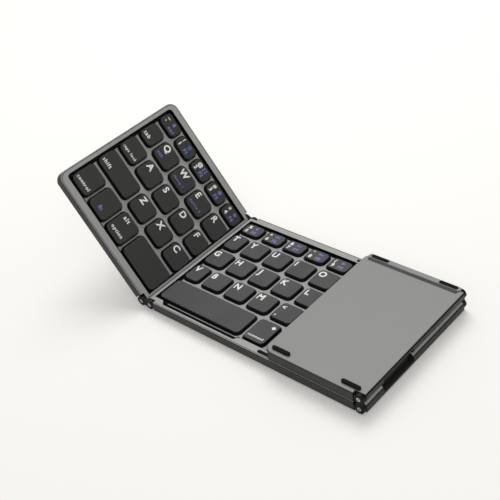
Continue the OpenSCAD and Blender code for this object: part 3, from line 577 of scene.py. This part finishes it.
@dataclass
class Printer:
    """Makes the thin raised prints of the key legends.

    Attributes:
        thickness: Height of a print, most of it sunk in the key.
        proud: How far it stands above the key's face.
        sign_weight: How much the strokes of one or two signs are thickened.
        word_weight: The same for a word.
        word_spacing: How far apart the letters of a word stand.
        capital: Height of a capital at text size 1.
        cache: The meshes of the texts made so far.
    """

    thickness: float = 0.1
    proud: float = 0.012
    sign_weight: float = 0.036
    word_weight: float = 0.028
    word_spacing: float = 1.2
    capital: float = 0.729
    cache: dict = field(default_factory=dict)

    def glyphs(self, text: str) -> tuple:
        """The mesh of a text at text size 1, cached.

        Args:
            text: The letters.

        Returns:
            The mesh, its left edge and its width.
        """
        if text not in self.cache:
            curve = bpy.data.curves.new("print", type="FONT")
            curve.body = text
            curve.resolution_u = 3
            is_word = len(text) > 2
            curve.offset = self.word_weight if is_word else self.sign_weight
            curve.space_character = self.word_spacing if is_word else 1.0
            holder = new_object("print", curve)
            mesh = bpy.data.meshes.new_from_object(
                holder.evaluated_get(bpy.context.evaluated_depsgraph_get())
            )
            bpy.data.objects.remove(holder)
            bpy.data.curves.remove(curve)
            across = [v.co.x for v in mesh.vertices]
            self.cache[text] = (mesh, min(across), max(across) - min(across))
        return self.cache[text]

    def flat(self, mark: Mark) -> BMesh:
        """The flat outline of a mark, with its left end and base line at 0.

        Args:
            mark: The mark.

        Returns:
            A flat mesh, in millimetres.
        """
        bm = bmesh.new()
        if mark.icon:
            for shape in ICONS[mark.text]:
                place = (
                    Matrix.Translation((shape.x, shape.y, 0))
                    @ Matrix.Scale(shape.stretch, 4, (1, 0, 0))
                    @ Matrix.Rotation(math.radians(shape.turn), 4, "Z")
                )
                bmesh.ops.create_circle(
                    bm, cap_ends=True, segments=shape.sides, radius=shape.radius, matrix=place
                )
            bmesh.ops.scale(bm, verts=bm.verts, vec=(mark.height, mark.height, 1))
            return bm
        mesh, start, wide = self.glyphs(mark.text)
        scale = mark.width / wide if mark.width else mark.height / self.capital
        bm.from_mesh(mesh)
        bmesh.ops.translate(bm, verts=bm.verts, vec=(-start, 0, 0))
        bmesh.ops.scale(bm, verts=bm.verts, vec=(scale, scale, 1))
        return bm

    def print_marks(
        self, marks: Iterable[Mark], corner: Vector, into: BMesh, inks: Sequence[Ink]
    ) -> None:
        """Adds the solid prints of some marks to a mesh.

        Args:
            marks: The marks.
            corner: Front left corner of the key's face, at the face's height.
            into: The mesh that they are added to.
            inks: The order of the material indices.
        """
        for mark in marks:
            bm = self.flat(mark)
            bmesh.ops.remove_doubles(bm, verts=bm.verts, dist=0.001)
            for f in bm.faces:
                if f.normal.z < 0:
                    f.normal_flip()
                f.material_index = inks.index(mark.ink)
            raised = bmesh.ops.extrude_face_region(bm, geom=list(bm.faces), use_keep_orig=True)
            top = [v for v in raised["geom"] if isinstance(v, BMVert)]
            bmesh.ops.translate(bm, verts=top, vec=(0, 0, self.thickness))
            place = corner + Vector((mark.x, mark.y, self.proud - self.thickness))
            bmesh.ops.translate(bm, verts=bm.verts, vec=place)
            bmesh.ops.recalc_face_normals(bm, faces=bm.faces)
            join_mesh(bm, into)


def letter(text: str) -> tuple:
    """The legend of a letter key: one capital at the back left."""
    return (Mark(text, 1.0, 7.9, 4.6),)


def device(text: str, word: str, width: float) -> tuple:
    """A letter with a small blue function word under it."""
    return letter(text) + (Mark(word, 1.2, 2.6, width=width, ink=Ink.BLUE),)


def number(symbol: str, digit: str, icon: str, function: str) -> tuple:
    """The legend of a number key: symbol over digit, and blue icon over function."""
    return (
        Mark(symbol, 1.9, 5.3, 2.7),
        Mark(digit, 1.9, 1.3, 2.9),
        Mark(icon, 6.8, 5.2, 3.0, ink=Ink.BLUE, icon=True),
        Mark(function, 6.8, 1.2, 2.8, ink=Ink.BLUE),
    )


def pair(upper: str, lower: str) -> tuple:
    """Two signs over each other at the left, as on the comma key."""
    return (Mark(upper, 1.6, 8.6, 3.2), Mark(lower, 1.6, 2.4, 3.2))


def word(text: str, width: float, x: float = 0.8, y: float = 2.6) -> tuple:
    """A lower case word of a given width near the key's front edge."""
    return (Mark(text, x, y, width=width),)


def arrow(icon: str) -> tuple:
    """The legend of an arrow key."""
    return (Mark(icon, 5.6, 2.5, 2.4, icon=True),)


CENTRE_ICONS = ("left", "previous", "play", "next", "right", "down", "up", "squares")
# The legends of each node's keys; on the centre panel a node holds a row of them.
LEGENDS = {
    "control_key": [word("control", 11.6, 0.9, 3.1)],
    "function_key": [(Mark("fn", 5.4, 2.9, width=3.1, ink=Ink.BLUE),)],
    "alternate_key": [(Mark("alt", 2.2, 12.8, width=4.8), Mark("option", 1.6, 3.2, width=10.0))],
    "left_space_key": [()],
    "left_shift_key": [word("shift", 7.6, 0.9, 2.8)],
    **{f"{sign.lower()}_key": [letter(sign)] for sign in "ZXC"},
    "caps_key": [word("caps lock", 13.0)],
    **{f"{sign.lower()}_key": [letter(sign)] for sign in "ASDF"},
    "tab_key": [word("tab", 5.6)],
    "q_key": [device("Q", "set", 4.6)],
    "w_key": [device("W", "device 1", 9.4)],
    "e_key": [device("E", "device 2", 10.6)],
    "r_key": [letter("R")],
    "grave_key": [number("~", "`", "house", "esc")],
    "one_key": [number("!", "1", "menu", "F1")],
    "two_key": [number("@", "2", "squares", "F2")],
    "three_key": [number("#", "3", "disc", "F3")],
    "four_key": [number("$", "4", "diamond", "F4")],
    "right_space_key": [()],
    "centre_front_keys": [
        (Mark("diamond", 10.0, 12.4, 3.0, icon=True), Mark("command", 1.6, 2.6, width=10.8)),
        word("alt", 4.2, 1.2, 3.2),
        *map(arrow, ("left", "down", "up", "right")),
    ],
    "centre_lower_keys": [
        *map(letter, "VBNM"), pair("<", ","), pair(">", "."), pair("?", "/"), word("shift", 6.8),
    ],
    "centre_home_keys": [
        *map(letter, "GHJKL"), pair(":", ";"), pair('"', "'"),
    ],
    "enter_key": [word("enter", 7.6)],
    "centre_upper_keys": [
        *map(letter, "TYUIOP"), pair("{", "["), pair("}", "]"), pair("|", "\\"),
    ],
    "centre_number_keys": [
        *(
            number(sign, digit, icon, f"F{i}")
            for i, (sign, digit, icon) in enumerate(zip("%^&*()_+", "567890-=", CENTRE_ICONS), 5)
        ),
        word("delete", 9.0, 1.6, 3.0),
    ],
}
# Where the homing bar of a key starts, by node and place in it.
HOMING = {("f_key", 0): 7.6, ("centre_home_keys", 2): 5.6}


# ---- the object's parts


@dataclass
class KeyCap:
    """Sizes shared by all keycaps, and the way one is made.

    Attributes:
        skirt_z: Height of the skirt's bottom.
        deck_z: Height at which the walls begin to lean.
        face_z: Height of the face.
        cavity_z: Height of the hollow's ceiling.
        draft: Lean of the side walls.
        front_draft: Lean of the front wall.
        back_draft: Lean of the back wall.
        corner: Corner radius.
        wall: Thickness of the skirt.
        edge: Rounding of the face's edge.
        dish: Depth of the face's dish.
        dish_start: Distance from the face's edge to the dish.
        bar: Length, depth and height of the homing bar.
        slip: How far the skirt stands back from the CAD key's.
        clear: Clearance between a key and its hole.
        border: Width of the ring of painted shade on the deck round the hole.
        border_sunk: How deep the border reaches into the deck.
        border_proud: How far it stands above the deck.
        bar_y: Distance from the face's front edge to the homing bar.
        bar_sunk: How deep the bar reaches below the face.
    """

    skirt_z: float = 3.3
    deck_z: float = 4.4
    face_z: float = 6.3
    cavity_z: float = 5.4
    draft: float = 0.4
    front_draft: float = 0.6
    back_draft: float = 0.2
    corner: float = 2.8
    wall: float = 0.8
    edge: float = 0.3
    dish: float = 0.05
    dish_start: float = 1.2
    bar: tuple = (4.2, 0.65, 0.13)
    slip: float = 0.04
    clear: float = 0.3
    border: float = 0.45
    border_sunk: float = 0.05
    border_proud: float = 0.03
    bar_y: float = 2.8
    bar_sunk: float = 0.2

    def build(self, face: Sequence[float], homing_x: Optional[float]) -> BMesh:
        """Makes one hollow keycap with a soft edge and a shallow dish.

        Args:
            face: Left, front, width and depth of its face.
            homing_x: Left end of its homing bar from the face's edge, or None.

        Returns:
            The mesh, with material 0 on the face and 1 on the walls, which get painted shade.
        """
        x, y, wide, deep = face
        lean, front_lean, back_lean = (
            draft - self.slip for draft in (self.draft, self.front_draft, self.back_draft)
        )
        low = Vector((x - lean, y - front_lean, self.skirt_z))
        high = Vector((x + wide + lean, y + deep + back_lean, self.face_z))
        bm = rounded_box(low, high, self.corner, 0.0)
        top = max(bm.faces, key=lambda f: f.calc_center_median().z)
        bottom = min(bm.faces, key=lambda f: f.calc_center_median().z)
        cut_across(bm, 2, (self.deck_z,))
        base_mid = (low + high) / 2
        face_mid = Vector((x + wide / 2, y + deep / 2, self.face_z))
        shrink = Vector((wide / (high.x - low.x), deep / (high.y - low.y), 1))
        for vertex in top.verts:
            off = vertex.co - base_mid
            vertex.co = Vector((face_mid.x + off.x * shrink.x, face_mid.y + off.y * shrink.y, self.face_z))
        bmesh.ops.inset_region(bm, faces=[bottom], thickness=self.wall, depth=0.0)
        inner = [f for f in bm.faces if abs(f.calc_center_median().z - self.skirt_z) < MERGE]
        ceiling = max(inner, key=lambda f: f.calc_area())
        for f in bm.faces:
            f.material_index = 1
        raised = bmesh.ops.extrude_face_region(bm, geom=[ceiling])
        if ceiling.is_valid:
            bmesh.ops.delete(bm, geom=[ceiling], context="FACES_ONLY")
        lift = [v for v in raised["geom"] if isinstance(v, BMVert)]
        bmesh.ops.translate(bm, verts=lift, vec=(0, 0, self.cavity_z - self.skirt_z))
        top = max(bm.faces, key=lambda f: f.calc_center_median().z)
        top.material_index = 0
        round_edges(bm, list(top.edges), self.edge, 3, material=0)
        top = max(bm.faces, key=lambda f: (round(f.calc_center_median().z, 4), f.calc_area()))
        bmesh.ops.inset_region(bm, faces=[top], thickness=self.dish_start, depth=-self.dish)
        if homing_x is not None:
            long, thick, high_by = self.bar
            ridge = rounded_box(
                (x + homing_x, y + self.bar_y, self.face_z - self.bar_sunk),
                (x + homing_x + long, y + self.bar_y + thick, self.face_z - self.dish + high_by),
                thick * 0.45, 0.05,
            )
            join_mesh(ridge, bm)
        return bm

    def add_shade_ring(self, face: Sequence[float], bm: BMesh) -> None:
        """Adds the thin ring of painted shade round a key's hole in the deck.

        Args:
            face: Left, front, width and depth of the key's face.
            bm: The mesh that it is added to.
        """
        x, y, wide, deep = face
        grow = self.clear + self.border
        low = (x - self.draft - grow, y - self.front_draft - grow, self.deck_z - self.border_sunk)
        high = (
            x + wide + self.draft + grow, y + deep + self.back_draft + grow,
            self.deck_z + self.border_proud,
        )
        join_mesh(flat_ring(low, high, self.corner + grow, self.border), bm)


def key_faces(node: str, matrix: Matrix, face_z: float) -> list:
    """Finds the faces of the keys in a CAD node.

    Args:
        node: The CAD node.
        matrix: From the panel's frame to the object.
        face_z: Height of the key faces.

    Returns:
        Left, front, width and depth of each key, from the left, the front ones first.
    """
    bm = cad_copy(node, matrix)
    found = []
    for f in bm.faces:
        if all(abs(v.co.z - face_z) < 0.01 for v in f.verts):
            x, y = (sorted(v.co[axis] for v in f.verts) for axis in (0, 1))
            found.append((x[0], y[0], x[-1] - x[0], y[-1] - y[0]))
    bm.free()
    return sorted(found, key=lambda k: (round(k[0], 1), k[1]))


@dataclass
class Keys:
    """The keys of one panel.

    Attributes:
        panel: The panel.
        nodes: The CAD nodes of its keys; each is a body of its own.
        cap: The keycaps' sizes.
        printer: What prints the legends.
    """

    panel: Panel
    nodes: Sequence[str]
    printer: Printer
    cap: KeyCap = field(default_factory=KeyCap)

    def build(self) -> None:
        """Makes the keycaps and their legends, in place of the CAD keys."""
        matrix = self.panel.matrix
        # Rings of painted shade round the key holes.
        shade_rings = bmesh.new()
        for node in self.nodes:
            caps, prints = bmesh.new(), bmesh.new()
            inks = self._inks(node)
            for i, face in enumerate(key_faces(node, matrix, self.cap.face_z)):
                self.cap.add_shade_ring(face, shade_rings)
                cap = self.cap.build(face, HOMING.get((node, i)))
                bmesh.ops.recalc_face_normals(cap, faces=cap.faces)
                join_mesh(cap, caps)
                corner = Vector((face[0], face[1], self.cap.face_z - self.cap.dish))
                self.printer.print_marks(LEGENDS[node][i], corner, prints, inks)
            # The key walls get painted shade.
            piece = finish_piece(
                caps, f"{node}_cap", matrix, node, (KEY_FACE, KEY_SIDE_SHADE), recalculate=False
            )
            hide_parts(node)
            if inks:
                finish_piece(
                    prints, f"{node}_legend", matrix, node, [INKS[i] for i in inks], recalculate=False
                )
            LOG.info("keys: %s", node)
        finish_piece(
            shade_rings, f"{self.panel.value}_key_shade_rings", matrix, self.panel.body, (PAINTED_SHADE_BLACK,)
        )

    def _inks(self, node: str) -> list:
        """The inks that a node's legends use, in a fixed order."""
        used = {mark.ink for marks in LEGENDS[node] for mark in marks}
        return [ink for ink in Ink if ink in used]


@dataclass
class SoftEdged:
    """A CAD node that keeps its form and gets softly broken edges.

    Attributes:
        node: The CAD node.
        finish: Its finish.
        body: The body it rides on.
        matrix: From a local frame to the object.
        radius: Width of the broken edges.
    """

    node: str
    finish: Finish
    body: str
    matrix: Matrix
    radius: float = 0.12

    def build(self) -> Object:
        """Makes the piece, in place of the CAD node, and returns it."""
        bm = cad_copy(self.node, self.matrix)
        soften(bm, self.radius)
        bm.normal_update()
        more = self.paint(bm)
        piece = finish_piece(
            bm, f"{self.node}_finished", self.matrix, self.body, (self.finish, *more),
            recalculate=False,
        )
        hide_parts(self.node)
        LOG.info("softened: %s, %d faces", self.node, len(piece.data.polygons))
        return piece

    def paint(self, bm: BMesh) -> tuple:
        """Gives parts of the mesh other finishes, and returns those; here none."""
        return ()


@dataclass
class TopFrame(SoftEdged):
    """A top frame: light on top, with painted shade in a band below its edge, on its inner walls and low on
    a hinge side's round edge, and a dark wall.

    Attributes:
        panel: The panel.
        band: Height above which the walls get a band of painted shade round the rim.
        hinge_band: Height on the round edge of a hinge side below which it gets painted shade and above
            which it is light.
        walls_in: Distance from the outline at which a wall counts as an inner one, which gets painted
            shade.
        corner_in: The same at a corner.
        corner_reach: How far a corner reaches.
    """

    panel: Panel = Panel.CENTRE
    band: float = 5.9
    hinge_band: float = 5.2
    walls_in: float = 0.6
    corner_in: float = 2.2
    corner_reach: float = 6.0

    def paint(self, bm: BMesh) -> tuple:
        """Paints the walls in bands, and returns the finishes of the dark wall and of the painted shade."""
        cut_across(bm, 2, (self.hinge_band, self.band))
        for f in bm.faces:
            middle, upright = f.calc_center_median(), abs(f.normal.z) < 0.8
            # Painted shade: black low on a hinge side's round edge, on inner walls and in a band just under
            # the rim's edge.
            if self._on_hinge(middle):
                f.material_index = 0 if middle.z > self.hinge_band and abs(f.normal.y) < 0.5 else 2
            elif not upright:
                f.material_index = 0
            elif self._inside(middle) or middle.z > self.band:
                f.material_index = 2
            else:
                f.material_index = 1
        return (SHELL_DARK, PAINTED_SHADE_BLACK)

    def _on_hinge(self, place: Vector) -> bool:
        """Whether a point is on the round edge of a hinge side."""
        left, right = self.panel.hinge_sides
        return (left and place.x < HINGE_R) or (right and place.x > self.panel.width - HINGE_R)

    def _inside(self, place: Vector) -> bool:
        """Whether a point lies away from the panel's outline."""
        to_side = min(place.x, self.panel.width - place.x)
        to_end = min(place.y, PANEL_DEPTH - place.y)
        at_corner = max(to_side, to_end) < self.corner_reach
        return min(to_side, to_end) > (self.corner_in if at_corner else self.walls_in)


@dataclass
class RimShadeLine:
    """A fine line of painted shade that runs round a panel's rim, just inside its edge.

    Attributes:
        panel: The panel.
        inset: Distance of the line from the outline.
        width: Width of the line.
        corner: Corner radius of the line's outer edge.
        bottom: Height of its underside, inside the rim.
        proud: How far it stands above the rim.
        notch: Distance from a hinge edge at which the line ends.
    """

    panel: Panel
    inset: float = 0.6
    width: float = 0.35
    corner: float = 5.5
    bottom: float = 6.3
    proud: float = 0.006
    notch: float = 6.9

    def build(self) -> None:
        """Makes the line and lays it on the rim."""
        left, right = self.panel.hinge_sides
        past = 3 * self.notch
        x0, x1 = (-past if left else 0.0), self.panel.width + (past if right else 0.0)
        bm = flat_ring(
            (x0 + self.inset, self.inset, self.bottom),
            (x1 - self.inset, PANEL_DEPTH - self.inset, PANEL_T + self.proud),
            self.corner,
            self.width,
        )
        for cut, place, normal in ((left, self.notch, -1.0), (right, self.panel.width - self.notch, 1.0)):
            if cut:
                bmesh.ops.bisect_plane(
                    bm, geom=bm.verts[:] + bm.edges[:] + bm.faces[:], plane_co=(place, 0, 0),
                    plane_no=(normal, 0, 0), clear_outer=True,
                )
        bmesh.ops.holes_fill(bm, edges=[e for e in bm.edges if e.is_boundary])
        finish_piece(
            bm, f"{self.panel.value}_rim_shade_line", self.panel.matrix, self.panel.body, (PAINTED_SHADE_BLACK,)
        )


@dataclass
class LowerShell(SoftEdged):
    """A lower shell, with a band of painted shadow at its foot.

    Attributes:
        panel: The panel; on the right one only the hinge side has the band.
        foot: Height of the band of painted shadow.
    """

    panel: Panel = Panel.CENTRE
    foot: float = 1.3

    def paint(self, bm: BMesh) -> tuple:
        """Paints the shadow band at the foot, and returns its finish."""
        cut_across(bm, 2, (self.foot,))
        reach = HINGE_R if self.panel is Panel.RIGHT else self.panel.width
        for f in bm.faces:
            middle = f.calc_center_median()
            # Painted shadow along the foot of the wall.
            f.material_index = 1 if middle.z < self.foot and middle.x < reach else 0
        return (PAINTED_SHADE_BLACK,)


@dataclass
class Deck:
    """The key deck: light between the keys, with painted shade along the rim.

    Attributes:
        panel: The panel.
        light: Left, front, right and back of the light part; the rest gets painted shade.
        strip: The same of the light strip in the thumb relief, where there is one.
        radius: Width of the broken edges.
    """

    panel: Panel
    light: tuple
    strip: Optional[tuple] = None
    radius: float = 0.1

    def build(self) -> None:
        """Makes the deck in place of the CAD node."""
        node = f"{self.panel.value}_key_deck"
        bm = cad_copy(node, self.panel.matrix)
        soften(bm, self.radius)
        areas = [area for area in (self.light, self.strip) if area]
        for x0, y0, x1, y1 in areas:
            cut_across(bm, 0, (x0, x1))
            cut_across(bm, 1, (y0, y1))
        for f in bm.faces:
            middle = f.calc_center_median()
            light = any(x0 < middle.x < x1 and y0 < middle.y < y1 for x0, y0, x1, y1 in areas)
            # Painted shade on the deck outside the light areas.
            f.material_index = 0 if light else 1
        piece = finish_piece(
            bm, f"{node}_finished", self.panel.matrix, self.panel.body,
            (DECK_GREY, PAINTED_SHADE_BLACK), recalculate=False,
        )
        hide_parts(node)
        LOG.info("deck: %s", node)


@dataclass
class FootRamp:
    """The ribbed ramp in front of a panel's foot bar.

    Attributes:
        panel: The panel.
        start_y: Front edge of the ramp.
        end_y: Where it meets the bar.
        height: Its height at the bar.
        inset: Distance from the panel's sides.
        radius: Corner radius.
        lip: Height of its front edge.
        sunk: How deep it reaches into the plate.
    """

    panel: Panel
    start_y: float = 92.1
    end_y: float = 93.9
    height: float = 0.62
    inset: float = 3.4
    radius: float = 0.8
    lip: float = 0.08
    sunk: float = 0.05

    def build(self) -> None:
        """Makes the ramp and puts it on the base plate."""
        low = (self.inset, self.start_y, -self.height)
        high = (self.panel.width - self.inset, self.end_y, self.sunk)
        bm = rounded_box(low, high, self.radius, 0.0)
        for vertex in bm.verts:
            if vertex.co.z < -self.height / 2:
                share = (vertex.co.y - self.start_y) / (self.end_y - self.start_y)
                vertex.co.z = -self.lip - (self.height - self.lip) * share
        finish_piece(
            bm, f"{self.panel.value}_foot_ramp", self.panel.matrix, self.panel.body, (RAMP,)
        )


@dataclass
class HingePins:
    """The pins of a hinge, with dimpled heads; the dimples and a ring round each head get painted shade.

    Attributes:
        node: The CAD node that they stand for.
        body: The link's body.
        head_r: Radius of a head.
        head_t: Thickness of a head.
        dimple_r: Radius of its dimple.
        dimple: Depth of its dimple.
        steps: Steps round a pin.
        edge: Chamfer of the head and slope of the dimple.
        rim: Width of the dimple's broken edge.
        pin_r: Radius of the pin.
        length: Length of the pin with its head.
        tip: Chamfer of its inner end.
        ring: Width of the ring of painted shade round a head.
    """

    node: str
    body: str
    head_r: float = 1.3
    head_t: float = 0.5
    dimple_r: float = 0.55
    dimple: float = 0.3
    steps: int = 32
    edge: float = 0.12
    rim: float = 0.06
    pin_r: float = 0.6
    length: float = 10.1
    tip: float = 0.1
    ring: float = 0.15

    def build(self) -> None:
        """Turns each pin on its own axis, in place of the CAD pins."""
        low, high = (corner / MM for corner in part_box(self.node))
        ends = [(low.x + self.head_r, low.z + self.head_r), (high.x - self.head_r, high.z - self.head_r)]
        half = PANEL_DEPTH / 2
        bm = bmesh.new()
        for x, z in ends:
            for side in (-1, 1):
                self._pin(bm, Vector((x, side * half, z)), -side)
        bm.normal_update()
        # Painted shade in each dimple and in a ring round each head's edge.
        for f in bm.faces:
            middle = f.calc_center_median()
            from_axis = min(math.hypot(middle.x - x, middle.z - z) for x, z in ends)
            deep = half - abs(middle.y)
            in_dimple = deep > self.rim and from_axis < self.dimple_r
            dark = in_dimple or from_axis > self.head_r - self.ring
            f.material_index = 1 if dark and deep < self.head_t else 0
        piece = finish_piece(bm, f"{self.node}_turned", OBJECT, self.body, (PIN_STEEL, LINK_BLACK_AND_SHADE))
        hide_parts(self.node)
        LOG.info("pins: %s", self.node)

    def _pin(self, bm: BMesh, outer: Vector, inward: int) -> None:
        """Adds one pin.

        Args:
            bm: The mesh that it is added to.
            outer: The middle of its head's outer face.
            inward: 1 if it runs towards +y, else -1.
        """
        profile = [
            (0.0, self.dimple), (self.dimple_r - self.edge, self.dimple), (self.dimple_r, self.rim),
            (self.dimple_r + self.rim, 0.0), (self.head_r - self.edge, 0.0), (self.head_r, self.edge),
            (self.head_r, self.head_t), (self.pin_r, self.head_t), (self.pin_r, self.length - self.tip),
            (self.pin_r - self.tip, self.length), (0.0, self.length),
        ]
        points = [
            bm.verts.new(outer + Vector((radius, inward * depth, 0))) for radius, depth in profile
        ]
        edges = [bm.edges.new(two) for two in zip(points, points[1:])]
        bmesh.ops.spin(
            bm, geom=points + edges, cent=outer, axis=(0, 1, 0), angle=math.tau,
            steps=self.steps, use_merge=True, use_duplicate=False,
        )
        bmesh.ops.remove_doubles(bm, verts=bm.verts, dist=MERGE)


@dataclass
class SocketTongue:
    """The contact tongue inside the charging socket.

    Attributes:
        thickness: Its thickness.
        margin: Distance from its sides to the socket's outside.
        root: Distance from its inner end to the socket's.
        back: How far its tip stands back from the mouth.
        corner: Corner radius.
        edge: Rounding of its edges.
    """

    thickness: float = 0.7
    margin: float = 1.5
    root: float = 0.5
    back: float = 0.6
    corner: float = 0.3
    edge: float = 0.08

    def build(self) -> None:
        """Makes the tongue inside the CAD socket's mouth."""
        low, high = (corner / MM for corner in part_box("charging_socket"))
        middle = (low.z + high.z) / 2
        bm = rounded_box(
            (low.x + self.margin, low.y + self.root, middle - self.thickness / 2),
            (high.x - self.margin, high.y - self.back, middle + self.thickness / 2),
            self.corner, self.edge,
        )
        finish_piece(bm, "socket_tongue", OBJECT, Panel.RIGHT.body, (SLEEVE,))


HIDDEN_FINISHES = {
    "centre_dome_sheet": DOMES,
    "left_dome_sheet": DOMES,
    "centre_key_circuit": BOARD,
    "left_key_circuit": BOARD,
    "touch_pad_board": BOARD,
    "main_board": BOARD,
    "battery": FOIL,
    "flat_cable_strip": FILM,
}


def dress_hidden() -> None:
    """Gives the CAD nodes inside the panels their finishes."""
    for node, finish in HIDDEN_FINISHES.items():
        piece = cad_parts[node]
        piece.data.materials.clear()
        piece.data.materials.append(finish.material())


# ---- the set


@dataclass
class Studio:
    """Floor, lights, world and camera.

    Attributes:
        floor_color: Colour of the floor and of the surround.
        floor_lift: How far the floor is lifted for the camera alone.
        world_strength: Strength of the surround as a light.
        lens: Focal length of the camera, in millimetres.
        shift: Shift of the lens.
        camera_place: Where the camera stands, in metres.
        camera_turn: How it is turned, in degrees.
    """

    floor_color: tuple = (0.92, 0.91, 0.88)
    floor_lift: float = 0.2
    world_strength: float = 0.47
    lens: float = 72.4829
    shift: tuple = (-0.001, 0.0015)
    camera_place: tuple = (0.3333671, -0.323689, 0.3784998)
    camera_turn: tuple = (52.90699, 7.47716, 40.64435)

    def build(self) -> None:
        """Makes the plain studio."""
        self._floor()
        self._world()
        self._light("key_light", (-0.35, 0.45, 0.95), 0.7, 6.0)
        self._light("fill_light", (0.7, -0.6, 0.7), 0.8, 1.5)
        self._camera()

    def _floor(self) -> None:
        """A plain pale floor."""
        bm = bmesh.new()
        bmesh.ops.create_grid(bm, x_segments=1, y_segments=1, size=6.0)
        mesh = bpy.data.meshes.new("studio_floor")
        bm.to_mesh(mesh)
        bm.free()
        floor = new_object("studio_floor", mesh)
        paint = bpy.data.materials.new("studio_floor")
        paint.use_nodes = True
        shader = paint.node_tree.nodes["Principled BSDF"]
        color = (*self.floor_color, 1.0)
        set_inputs(shader, {"Base Color": color, "Roughness": 0.9, "Emission Color": color})
        seen = paint.node_tree.nodes.new("ShaderNodeLightPath")
        lift = calculate(paint.node_tree, "MULTIPLY", seen.outputs["Is Camera Ray"], self.floor_lift)
        paint.node_tree.links.new(lift, shader.inputs["Emission Strength"])
        mesh.materials.append(paint)

    def _world(self) -> None:
        """A plain soft surround."""
        world = bpy.data.worlds.new("studio")
        world.use_nodes = True
        back = world.node_tree.nodes["Background"]
        back.inputs["Color"].default_value = (*self.floor_color, 1.0)
        seen = world.node_tree.nodes.new("ShaderNodeLightPath")
        lift = map_range(
            world.node_tree, seen.outputs["Is Camera Ray"], (0.0, 1.0), (self.world_strength, 1.0)
        )
        world.node_tree.links.new(lift.outputs["Result"], back.inputs["Strength"])
        bpy.context.scene.world = world

    def _light(self, name: str, place: tuple, size: float, power: float) -> None:
        """Adds one soft lamp aimed at the object.

        Args:
            name: The lamp's name.
            place: Where it hangs, in metres.
            size: Its side, in metres.
            power: Its power, in watts.
        """
        data = bpy.data.lights.new(name, "AREA")
        data.shape = "SQUARE"
        data.size = size
        data.energy = power
        lamp = new_object(name, data)
        lamp.location = place
        lamp.rotation_euler = (-Vector(place)).to_track_quat("-Z", "Y").to_euler()

    def _camera(self) -> None:
        """The camera, where the photograph was taken from."""
        data = bpy.data.cameras.new("camera")
        data.lens = self.lens
        data.sensor_width = 36.0
        data.shift_x, data.shift_y = self.shift
        data.clip_start = 0.02
        data.clip_end = 30.0
        camera = new_object("camera", data)
        camera.location = self.camera_place
        camera.rotation_euler = [math.radians(a) for a in self.camera_turn]
        bpy.context.scene.camera = camera
        bpy.context.scene.view_settings.view_transform = "Standard"


def soft_edged_nodes() -> list:
    """Lists the CAD nodes that keep their form, with their finishes.

    Returns:
        One SoftEdged for each.
    """
    listed = []
    for panel in Panel:
        name, home = panel.value, (panel.body, panel.matrix)
        listed += [
            LowerShell(f"{name}_lower_shell", SHELL_DARK, *home, 0.1, panel),
            SoftEdged(f"{name}_base_plate", PLATE_GREY, *home, 0.15),
            TopFrame(f"{name}_top_frame", RIM_GREY, *home, 0.15, panel),
            SoftEdged(f"{name}_feet", RUBBER, *home, 0.15),
        ]
    right = (Panel.RIGHT.body, Panel.RIGHT.matrix)
    listed += [
        SoftEdged("rim_bumpers", RUBBER, Panel.CENTRE.body, Panel.CENTRE.matrix, 0.08),
        SoftEdged("touch_pad", TOUCH, *right, 0.1),
        SoftEdged("charging_socket", SOCKET_STEEL, *right, 0.05),
        SoftEdged("left_hinge_links", LINK_BLACK_AND_SHADE, "left_link", OBJECT, 0.15),
        SoftEdged("right_hinge_links", LINK_BLACK_AND_SHADE, "right_link", OBJECT, 0.15),
        SoftEdged("cable_sleeve", SLEEVE, "right_link", OBJECT, 0.12),
    ]
    return listed


def main() -> None:
    """Builds the object's pieces and the studio, in order."""
    logging.basicConfig(level=logging.INFO, format="%(name)s: %(message)s")
    Studio().build()
    printer = Printer()
    for part in soft_edged_nodes():
        part.build()
    Deck(Panel.CENTRE, (5.4, 7.0, CENTRE_W - 5.4, 91.6), (13.4, 5.7, 68.0, 6.9)).build()
    Deck(Panel.LEFT, (5.6, 7.0, LEFT_W - 5.0, 91.6)).build()
    single = ("right_space_key", "enter_key")  # centre keys with a node of their own
    centre_nodes = [n for n in LEGENDS if n.startswith("centre_") or n in single]
    left_nodes = [n for n in LEGENDS if n not in centre_nodes]
    Keys(Panel.LEFT, left_nodes, printer).build()
    Keys(Panel.CENTRE, centre_nodes, printer).build()
    for panel in Panel:
        FootRamp(panel).build()
        RimShadeLine(panel).build()
    HingePins("left_hinge_pins", "left_link").build()
    HingePins("right_hinge_pins", "right_link").build()
    SocketTongue().build()
    dress_hidden()


if __name__ == "__main__":
    main()
